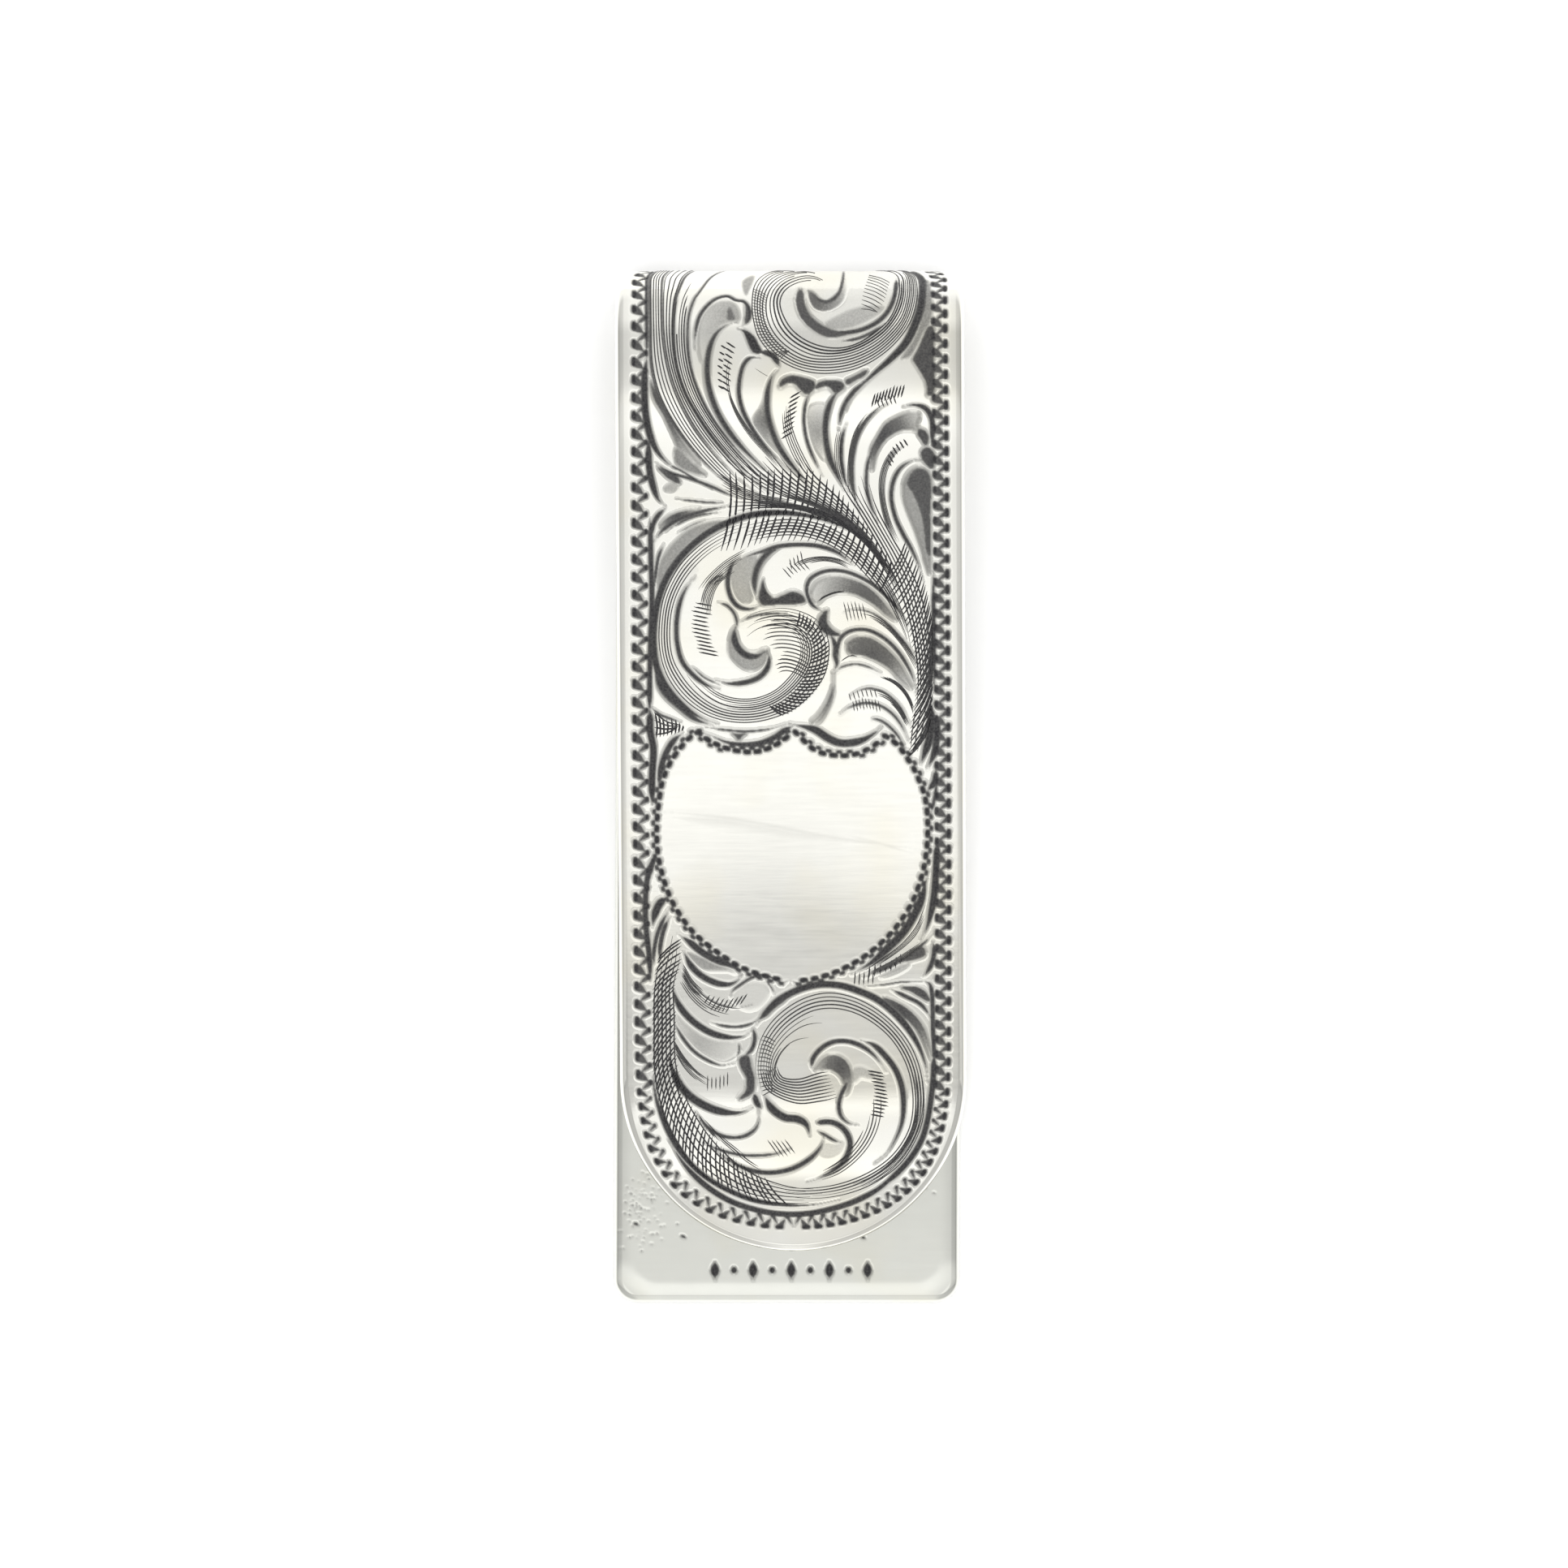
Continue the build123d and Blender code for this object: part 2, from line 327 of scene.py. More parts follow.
def first_lobes():
    """The acanthus lobes between the left sheaf and the top scroll."""
    # The hooded lobe beside the sheaf
    cut((-5.12, 4.7), (-5.14, 3.7), (-4.95, 2.75), (-4.55, 2.1), (-4, 1.65), (-3.4, 1.5), (-2.95, 1.72),
        (-2.5, 1.8), (-2.22, 2.15), (-2.16, 2.6), (-2.3, 2.95), (-2.6, 3.2), wide=0.17, taper=(0.3, 0.1))
    ground((-4.95, 4.6), (-4.98, 3.4), (-4.7, 2.55), (-4.2, 2), (-3.5, 1.75), (-3, 1.95), (-2.75, 2.4),
           (-2.75, 2.85), (-3.4, 3), (-3.95, 3.35), (-4.35, 4.1), (-4.7, 5.2), tone=0.4, sink=0.04,
           toward=(-3.2, 2.6))
    ground((-3.4, 2.2), (-3.2, 2.05), (-3.05, 2.4), (-2.9, 2.8), (-3.4, 2.85), tone=0.6, sink=0.05)
    ground((-2.4, 1.95), (-2.2, 2.3), (-2.25, 2.8), (-2.45, 3.05), (-2.4, 2.5), tone=0.8)
    cut((-2.75, 2.95), (-3.3, 3.05), (-3.9, 3.45), (-4.3, 4.1), (-4.5, 5), (-4.5, 6), (-4.3, 7), (-3.9, 8),
        (-3.35, 8.9), (-2.7, 9.7), (-1.9, 10.5), (-1, 11.3), wide=0.36, lean=-0.35, gain=1.5)
    cut((-2.85, 3.3), (-2.45, 3.45), (-2.1, 3.9), (-1.85, 4.4), (-1.5, 4.62), wide=0.5, lean=-0.2,
        taper=(0.6, 0.2))
    cut((-1.75, 4.6), (-1.3, 4.62), (-0.85, 4.85), (-0.55, 5.4), wide=0.3, lean=-0.3, taper=(0.3, 0.3))
    stem = curve((-3.25, 4.7), (-3.45, 5.6), (-3.42, 6.5), (-3.2, 7.4), (-2.8, 8.3), (-2.2, 9.2),
                 (-1.4, 10.1), (-0.3, 11.3))
    inner = curve((-3.25, 5.4), (-3.3, 6.3), (-3.1, 7.2), (-2.65, 8.1), (-2.1, 8.9), (-1.4, 9.7),
                  (-0.5, 10.7))
    fan(stem, inner, 5, wide=0.045, start=(0, 0.3), end=(1, 0.1))
    comb(curve((-3.2, 4.2), (-3.35, 5), (-3.45, 5.8), (-3.5, 6.6)), 9, 0.55, 35)
    comb(curve((-3.6, 4.3), (-3.75, 5), (-3.8, 5.8), (-3.75, 6.5)), 7, 0.3, 35)
    # The narrow white lobe
    cut((-1.6, 4.9), (-2.15, 4.9), (-2.55, 5.35), (-2.75, 6.2), (-2.75, 7), (-2.55, 7.8), (-2.15, 8.6),
        (-1.6, 9.4), (-0.9, 10.2), (0, 11.1), wide=0.2, taper=(0.1, 0.4))
    ground((-1.25, 6.9), (-1.6, 7.6), (-2, 8.3), (-1.6, 9), (-0.9, 9.8), (-0.6, 10), (-0.9, 8.9), (-1.1, 8),
           tone=0.6, sink=0.04, toward=(-1.2, 8.3))
    cut((-0.6, 5.45), (-0.98, 5.95), (-1.2, 6.8), (-1.2, 7.8), (-1, 8.7), (-0.65, 9.6), (-0.15, 10.4),
        (0.4, 11.1), (1, 12), wide=0.34, lean=0.3, gain=1.6)
    line((-1.9, 5.45), (-1.3, 5.85), (-1, 5.95), wide=0.03)
    # The lobe with a double comb, under the scroll
    ground((-0.55, 6.5), (-0.45, 6.1), (0.1, 5.85), (0.8, 5.97), (1.35, 6.2), (1.3, 6.6), (0.9, 6.88),
           (0.6, 6.65), (0.25, 6.3), (-0.2, 6.3), tone=0.88)
    ribs = curve((0.02, 6.9), (0.05, 7.7), (0.15, 8.6), (0.5, 9.6), (1, 10.6), (1.6, 11.6))
    fan(curve((-0.35, 7.2), (-0.45, 8), (-0.35, 9), (0, 10), (0.5, 11)), ribs, 5, wide=0.05, start=(0, 0.3))
    comb(curve((0.3, 6.9), (0.1, 7.7), (-0.05, 8.4), (-0.15, 9.1)), 9, 0.7, -30, wide=0.09)
    # The plain lobe on its right
    cut((1.38, 6.5), (1, 6.95), (0.8, 7.7), (0.78, 8.6), (0.95, 9.5), (1.3, 10.4), (1.8, 11.4), wide=0.15)
    ground((1.4, 6.62), (1.55, 6.25), (2.2, 6.1), (2.85, 6.2), (2.95, 6.5), (2.5, 6.82), (2.15, 6.48),
           (1.75, 6.47), tone=0.88)
    ground((1, 7.6), (1.9, 7.4), (1.75, 8.4), (1.8, 9.6), (1.9, 10.5), (1.4, 9.9), (1.05, 8.9), tone=0.45,
           sink=0.03, toward=(1.5, 8.9))
    cut((2.98, 6.55), (2.42, 6.95), (2.05, 7.7), (1.9, 8.6), (1.95, 9.5), (2.15, 10.4), (2.5, 11.2),
        (3, 12.2), wide=0.38, lean=-0.3, gain=1.6)


def right_lobes():
    """The lobes between the top scroll and the right border."""
    ground((3.05, 6.12), (3.5, 5.88), (4, 5.62), (4.25, 5.52), (4.1, 5.85), (3.6, 6.12), (3.15, 6.38),
           tone=0.8)
    cut((4.05, 6.15), (3.45, 6.75), (3, 7.4), (2.75, 8.1), (2.65, 8.85), wide=0.2)
    ground((7.35, 0.6), (7.7, 0.8), (7.72, 2.7), (7.3, 3.5), (6.9, 4.3), (6.55, 4.8), (6.1, 4.9),
           (6.9, 3.6), (7.25, 2.2), tone=0.5, sink=0.05)
    ground((7.6, 3.15), (7.86, 3.3), (7.82, 4.6), (7.86, 5.6), (7.9, 6.3), (7.8, 6.85), (7.5, 6.95),
           (7.45, 6.3), (7.2, 5.8), (6.95, 5.4), (6.72, 4.95), (7, 4.4), (7.3, 3.7), tone=0.85)
    # The broad lobe with a comb along it
    comb(curve((4.55, 7.2), (5.1, 6.95), (5.6, 6.8), (6.15, 6.7)), 10, 0.7, 107)
    comb(curve((4.8, 7.35), (5.3, 7.2), (5.7, 7.15)), 5, 0.55, 72, wide=0.07)
    outer = curve((5.4, 7.3), (4.8, 7.7), (4.2, 8.3), (3.75, 9.1), (3.5, 10), (3.4, 11), (3.5, 12.2),
                  (3.8, 13.4))
    inner = curve((4.9, 7.3), (4.2, 7.9), (3.6, 8.7), (3.3, 9.5), (3.15, 10.4), (3.1, 11.3), (3.2, 12.4))
    plate.groove(outer, 0.08, 0.06, 0.9)
    fan(outer, inner, 6, wide=0.05, start=(0, 0.3))
    cut((3.1, 8.45), (2.85, 9.2), (2.78, 10.2), (2.9, 11.2), (3.15, 12.2), wide=0.18)
    fan(curve((2.6, 8.6), (2.4, 9.6), (2.45, 10.8), (2.8, 12)),
        curve((2.9, 8.9), (2.75, 9.8), (2.8, 10.8), (3.1, 12)), 4)
    # The hook with a dark hollow
    cut((6.1, 7.55), (6.8, 7.45), (7.4, 7.65), (7.72, 8.2), (7.76, 9), (7.7, 9.7), wide=0.26,
        taper=(0.4, 0.2))
    ground((4.35, 10.9), (4.4, 9.9), (4.75, 9.2), (5.2, 8.5), (5.8, 8.1), (6.5, 7.85), (7, 7.85),
           (7.1, 8.1), (6.95, 8.5), (7.1, 8.9), (6.5, 8.82), (5.9, 8.9), (5.3, 9.25), (4.9, 9.75),
           (4.65, 10.3), (4.5, 11), tone=0.88, toward=(5, 9.1))
    ground((7, 8.75), (7.35, 8.85), (7.55, 9.2), (7.4, 9.7), (7.15, 9.35), (6.95, 9.05), tone=0.85)
    cut((4.45, 9.8), (4.2, 10.8), (4.15, 11.8), (4.35, 12.8), (4.8, 13.9), wide=0.16)
    # The next hook, with a comb
    comb(curve((6.3, 9.5), (5.9, 9.75), (5.6, 10.1), (5.4, 10.6)), 7, 0.45, 60)
    fan(curve((6.3, 9.7), (5.8, 10.1), (5.4, 10.8), (5.2, 11.6), (5.2, 12.6), (5.5, 13.8), (6, 15)),
        curve((5.9, 9.6), (5.35, 10.1), (4.95, 10.9), (4.8, 11.8), (4.9, 12.9), (5.2, 14), (5.7, 15.1)), 6,
        wide=0.05)
    ground((7.15, 9.95), (7.5, 9.75), (7.85, 10.1), (7.8, 10.9), (7.55, 10.85), (7.2, 10.4), tone=0.85)
    cut((7.2, 10.45), (6.6, 10.5), (6, 10.9), (5.62, 11.6), (5.5, 12.5), (5.7, 13.5), (6.1, 14.4),
        (6.6, 15.3), (7, 16.2), (7.25, 17.1), wide=0.2)
    # The teardrop
    ground((6.15, 11.7), (6.5, 11.05), (7, 10.8), (7.5, 11), (7.72, 11.6), (7.66, 12.6), (7.62, 14),
           (7.66, 15.5), (7.6, 16.7), (7.3, 16), (7.1, 15.2), (6.8, 14.3), (6.4, 13.3), (6.15, 12.5),
           tone=0.45, sink=0.1)
    ground((6.35, 11.7), (6.7, 11.05), (7.15, 10.9), (7.55, 11.2), (7.68, 12), (7.62, 13.4), (7.64, 15.6),
           (7.4, 15.4), (7.25, 14), (7, 13), (6.7, 12.3), tone=0.8, sink=0.13)


def spiral_lines(rings, count, wide=0.06, start=(0, 0.12), end=(1, 0.12)):
    """Fine lines round a scroll, between each ring and the next."""
    for outer, inner in zip(rings, rings[1:]):
        fan(outer, inner, count, wide, start, end)


def top_scroll():
    """The scroll that rolls over the fold."""
    cut((0.6, -1.9), (3, -1.65), (5.2, -1.3), (6.6, -0.4), (7.2, 0.5), (7.18, 1.8), (6.85, 3), (6.3, 4.1),
        (5.5, 4.95), (4.7, 5.65), (4, 6.3), (3.4, 7), (3, 7.8), wide=0.42, lean=-0.3, taper=(0.1, 0.3))
    outer = curve((5.4, -1), (6.6, -0.2), (6.95, 0.6), (6.98, 1.7), (6.65, 2.9), (6, 3.9), (5.1, 4.75),
                  (4, 5.4), (2.8, 5.75), (1.4, 5.8), (0.1, 5.45), (-1, 4.75), (-1.75, 3.8), (-2.05, 2.7),
                  (-2.1, 1.6), (-1.9, 0.7), (-1.2, 0.1), (0, -0.7), (1.4, -0.8))
    middle = curve((4.8, -0.8), (6.2, -0.1), (6.5, 0.7), (6.45, 1.7), (6.15, 2.7), (5.5, 3.55), (4.6, 4.3),
                   (3.4, 4.85), (2.1, 5.05), (0.9, 4.95), (-0.1, 4.45), (-0.85, 3.75), (-1.3, 2.9),
                   (-1.4, 2), (-1.2, 1.2), (-0.7, 0.6), (0, 0.25), (1, 0.1), (2, 0.5))
    inner = curve((4.4, -0.6), (5.7, 0.1), (5.95, 0.9), (5.85, 1.7), (5.5, 2.6), (4.9, 3.25), (4, 3.9),
                  (3.1, 4.25), (2.1, 4.25), (1.1, 3.95), (0.3, 3.4), (-0.2, 2.7), (-0.45, 2), (-0.3, 1.4),
                  (0.1, 1), (0.7, 0.75), (1.4, 0.7), (2.1, 1))
    spiral_lines((outer, middle), 5, wide=0.075)
    spiral_lines((middle, inner), 5, wide=0.075, start=(0, 0.2))
    across(curve((-2, 1.1), (-2.05, 2.6), (-1.6, 4), (-0.6, 5.1)),
           curve((-1.2, 1.1), (-1.3, 2.6), (-0.9, 3.6), (0, 4.5)), 26, skew=0.12)
    across(curve((4.4, 0.3), (4, 1.4), (3.9, 2.2)), curve((5.5, 0.6), (5.2, 1.7), (4.8, 2.4)), 11,
           wide=0.06, skew=0.1)
    ground((1.9, 3.1), (2.8, 2.5), (3.8, 2.1), (5, 2), (5.1, 2.3), (4.4, 2.8), (3.4, 3.25), (2.4, 3.35),
           tone=0.35, sink=0.02)
    ground((-0.6, 0.8), (-0.5, 2.6), (0.6, 4.1), (2.2, 4.6), (4, 4.2), (5.3, 3.2), (6.1, 1.8), (6.1, 0.5),
           (4.6, -0.2), (2, 0), tone=0.13, sink=0)
    # Its eye, an S between two crescents
    ground((0.6, 1.05), (0.78, 1.3), (0.85, 1.9), (1.1, 2.5), (1.7, 3.05), (2.5, 3.4), (3.3, 3.5),
           (3.2, 3.62), (2.2, 3.8), (1.3, 3.4), (0.62, 2.7), (0.35, 1.9), (0.4, 1.3), tone=0.8)
    cut((2.2, 3.45), (3.2, 3.5), (4.1, 3.3), (4.9, 2.85), (5.45, 2.2), (5.75, 1.4), (5.85, 0.5), wide=0.22,
        taper=(0.2, 0.1))
    cut((2.8, 4), (3.7, 3.85), (4.5, 3.5), (5.2, 3), wide=0.14)
    ground((1, 1.2), (1.3, 1.3), (1.6, 1.65), (2, 1.8), (2.4, 1.62), (2.75, 1.2), (2.95, 0.6), (3.1, 0.5),
           (3.1, 1.2), (2.9, 1.8), (2.3, 2.25), (1.6, 2.3), (1.15, 1.9), tone=0.7, toward=(1.3, 1.6))
    cut((1, 1.15), (1.3, 1.3), (1.6, 1.65), (2, 1.78), (2.4, 1.6), (2.75, 1.15), (2.95, 0.4), (3.2, -0.3),
        wide=0.12)
    ground((-2.4, 1.5), (-2.6, 0.7), (-2.1, 0.3), (-1.9, 0.4), (-2.1, 1), tone=0.45, sink=0.05)


def hidden_lobes():
    """Beyond the top of the fold: lobes that close the design, and the rule that ends it."""
    cut((-7.8, -5.3), (-4, -5.34), (0, -5.35), (4, -5.34), (7.8, -5.3), wide=0.16, taper=(0, 0))
    stem = ((-2.2, -1.6), (-0.6, -2.5), (1.6, -2.8), (4, -2.6), (6, -1.9), (7.5, -0.6))
    cut(*stem, wide=0.2)
    fan(curve(*stem), curve((-3, -2.4), (-0.8, -3.3), (1.6, -3.6), (4.4, -3.4), (6.4, -2.6), (7.6, -1.4)),
        6)
    for place in range(5):
        x = -3.9 + 2.5 * place
        cut((x, -3.4), (x + 0.2, -4.2), (x + 0.9, -4.8), (x + 1.9, -4.9), (x + 2.3, -4.4), wide=0.22)
        ground((x + 0.6, -3.9), (x + 1.1, -4.4), (x + 1.8, -4.5), (x + 1.5, -4), tone=0.5, sink=0.05)
        comb(curve((x + 0.5, -3.6), (x + 1.4, -3.8), (x + 2.1, -3.9)), 5, 0.4, 80)


def left_sprigs():
    """The pointed leaves at the left border, between the sheaf and the middle scroll."""
    cut((-7.4, 10.55), (-6.6, 11.1), (-5.5, 11.45), (-4.4, 11.85), (-3.4, 12.3), (-2.6, 12.6), wide=0.15)
    cut((-6.8, 10.6), (-6, 11), (-5, 11.6), (-4.2, 12.1), wide=0.09)
    ground((-7.25, 10.8), (-6.7, 11.1), (-6.15, 11.35), (-6, 11.75), (-6.4, 11.6), (-6.9, 11.25), tone=0.85)
    ground((-6.5, 11.7), (-6.1, 11.8), (-6.4, 12.2), (-6.9, 12.1), tone=0.35, sink=0.03)
    cut((-6.35, 12.55), (-5.5, 12.65), (-4.5, 12.75), (-3.2, 12.8), wide=0.09)
    cut((-6.8, 13.05), (-7.2, 13.45), (-7.5, 14), (-7.6, 14.8), wide=0.24, lean=0.3)
    ground((-7.1, 13.95), (-6.6, 13.5), (-5.8, 13.2), (-4.9, 13.08), (-5.5, 13.4), (-6.3, 13.8),
           (-6.9, 14.35), tone=0.85, toward=(-6.2, 13.5))
    cut((-7.5, 14.95), (-6.9, 14.2), (-6.1, 13.7), (-5.2, 13.35), (-4.2, 13.1), (-3.2, 12.95), wide=0.17)
    cut((-6.6, 14.2), (-5.7, 13.7), (-4.8, 13.42), (-3.8, 13.3), wide=0.1)
    cut((-6.2, 14.45), (-5.3, 13.95), (-4.6, 13.7), wide=0.06)
    ground((-7.3, 17), (-7.05, 15.9), (-6.3, 14.9), (-5.4, 14.15), (-4.4, 13.8), (-3.5, 13.72),
           (-4.3, 14.1), (-5.2, 14.7), (-6, 15.5), (-6.7, 16.5), (-7.15, 17.6), tone=0.45, sink=0.05)
    cut((-6.9, 15), (-7.2, 15.7), (-7.35, 16.5), (-7.45, 17.5), wide=0.15)
    cut((-7.65, 13.6), (-7.62, 16), (-7.58, 18), (-7.66, 20), (-7.72, 22), (-7.75, 24.3), wide=0.26,
        taper=(0.1, 0.1))


def middle_scroll():
    """The large scroll left of the middle, and its bud."""
    cut((4.4, 15), (3.3, 14.3), (2, 13.75), (0.8, 13.45), (-0.6, 13.32), (-2, 13.42), (-3.2, 13.78),
        (-4.3, 14.3), (-5.2, 14.95), (-6, 15.75), (-6.7, 16.75), (-7.15, 17.8), (-7.4, 18.9), (-7.5, 20.2),
        (-7.4, 21.4), (-7.1, 22.3), (-6.6, 23.1), (-5.9, 23.8), (-5, 24.45), (-4, 24.85), wide=0.34,
        lean=0.25, taper=(0.3, 0.15))
    cut((-7.5, 21.8), (-7.25, 22.6), (-6.8, 23.3), (-6, 24), (-5.2, 24.6), (-4.3, 24.9), wide=0.42,
        lean=-0.3, gain=1.5)
    outer = curve((-1.8, 13.7), (-3.2, 14), (-4.3, 14.55), (-5.2, 15.2), (-6, 16), (-6.6, 16.95),
                  (-7, 17.9), (-7.2, 18.9), (-7.28, 20.2), (-7.15, 21.3), (-6.8, 22.3), (-6.2, 23.2),
                  (-5.4, 23.95), (-4.4, 24.5), (-3.2, 24.78), (-2, 24.78), (-0.8, 24.5), (0.3, 24),
                  (1.2, 23.2), (1.9, 22.2), (2.15, 21.1), (2.1, 20.1), (1.6, 19.2), (0.8, 18.7),
                  (-0.2, 18.45), (-1.2, 18.5), (-2.1, 18.75), (-2.8, 19.25))
    middle = curve((-2.3, 14.6), (-3.4, 15), (-4.3, 15.5), (-5.1, 16.2), (-5.8, 17.1), (-6.25, 18),
                   (-6.5, 19), (-6.55, 20.2), (-6.4, 21.2), (-6, 22), (-5.4, 22.8), (-4.6, 23.5),
                   (-3.7, 23.95), (-2.7, 24.1), (-1.7, 24), (-0.7, 23.6), (0.2, 22.9), (0.9, 22), (1.2, 21),
                   (1, 20.1), (0.4, 19.5), (-0.4, 19.2), (-1.2, 19.2), (-2, 19.4), (-2.7, 19.9))
    inner = curve((-2.6, 15.5), (-3.4, 15.9), (-4.2, 16.5), (-5, 17.3), (-5.5, 18.2), (-5.75, 19.2),
                  (-5.8, 20.2), (-5.6, 21.1), (-5.2, 21.9), (-4.5, 22.7), (-3.7, 23.2), (-2.8, 23.4),
                  (-1.9, 23.35), (-1, 23), (-0.3, 22.4), (0.3, 21.6), (0.5, 20.8), (0.3, 20.2),
                  (-0.3, 19.9), (-1, 19.8), (-1.6, 19.95), (-2.2, 20.4))
    ground((-5.9, 16.2), (-7, 18.4), (-7.2, 20.4), (-6.6, 22.6), (-4.8, 24.2), (-2.4, 24.7), (0, 24.1),
           (1.6, 22.6), (2, 20.6), (1.2, 19.4), (0.9, 21), (0, 22.8), (-2, 23.9), (-4, 23.6), (-5.6, 22.4),
           (-6.4, 20.2), (-6, 18), (-5, 16.4), tone=0.07, sink=0)
    spiral_lines((outer, middle), 5, wide=0.07, start=(0, 0.06), end=(1, 0.2))
    fan(middle, inner, 6, wide=0.065, start=(0.4, 0.15), end=(1, 0.15))
    fan(curve((-2.4, 15.2), (-3.6, 15.9), (-4.6, 16.8), (-5.2, 17.6)),
        curve((-2.8, 16), (-3.7, 16.7), (-4.3, 17.5)), 6)
    cut((-5.15, 16.75), (-5.75, 17.5), (-6.1, 18.4), (-6.25, 19.5), (-6.2, 20.5), (-5.95, 21.4),
        (-5.4, 22.1), (-4.7, 22.65), (-3.9, 22.95), wide=0.22, lean=0.2, taper=(0.3, 0.2))
    cut((-5.4, 21.7), (-4.8, 22.25), (-4.1, 22.6), (-3.9, 22.7), wide=0.08)
    fan(curve((-3, 16.5), (-3.9, 17.2), (-4.3, 18.2), (-4.4, 19.2)),
        curve((-3.9, 16.5), (-4.7, 17.4), (-5, 18.4)), 7, wide=0.06)
    comb(curve((-4.75, 18.3), (-4.95, 19.2), (-4.85, 20), (-4.5, 21)), 13, 0.95, 12, wide=0.085)
    # Cross-hatching on its right flank
    across(curve((0.5, 18.7), (1.5, 19.3), (2.05, 20.3), (2.1, 21.3), (1.8, 22.3), (1.1, 23.3), (0, 24.2),
                 (-0.9, 24.5)),
           curve((-0.3, 19.3), (0.6, 19.6), (1, 20.3), (1.05, 21), (0.8, 21.9), (0.3, 22.7), (-0.5, 23.5),
                 (-1.2, 23.8)), 30, wide=0.1, skew=0.1, end=0.94)
    # Arcs from its eye out to that flank
    fan(curve((-2.5, 19.35), (-1.6, 18.95), (-0.5, 18.8), (0.6, 18.95), (1.5, 19.5)),
        curve((-0.9, 22.2), (-0.3, 22), (0.3, 22.15), (0.8, 22.5), (1.1, 22.9)), 15, wide=0.075,
        start=(0.1, 0.3), end=(1, 0.15))
    # The bud
    cut((-4, 18.2), (-3.5, 18.35), (-3.12, 18.75), (-2.95, 19.3), (-3.1, 19.8), wide=0.13)
    ground((-3.1, 19.6), (-3.35, 20.1), (-3.4, 20.8), (-3.1, 21.4), (-2.5, 21.85), (-1.9, 21.85),
           (-1.4, 21.4), (-1.28, 20.8), (-1.45, 20.75), (-1.9, 20.95), (-2.4, 20.9), (-2.8, 20.5),
           (-2.95, 20), tone=0.42, sink=0.07)
    cut((-3.05, 19.5), (-3.1, 20.2), (-2.85, 20.75), (-2.4, 21.1), (-1.85, 21.12), (-1.4, 20.85), wide=0.34,
        lean=-0.3)
    cut((-1.3, 20.8), (-1.2, 21.3), (-1.35, 21.85), (-1.8, 22.3), (-2.5, 22.55), (-3.3, 22.62),
        (-4.1, 22.45), wide=0.26, lean=0.2)
    cut((-2.8, 19.3), (-2.1, 18.95), (-1.2, 18.8), (-0.2, 18.8), wide=0.1)


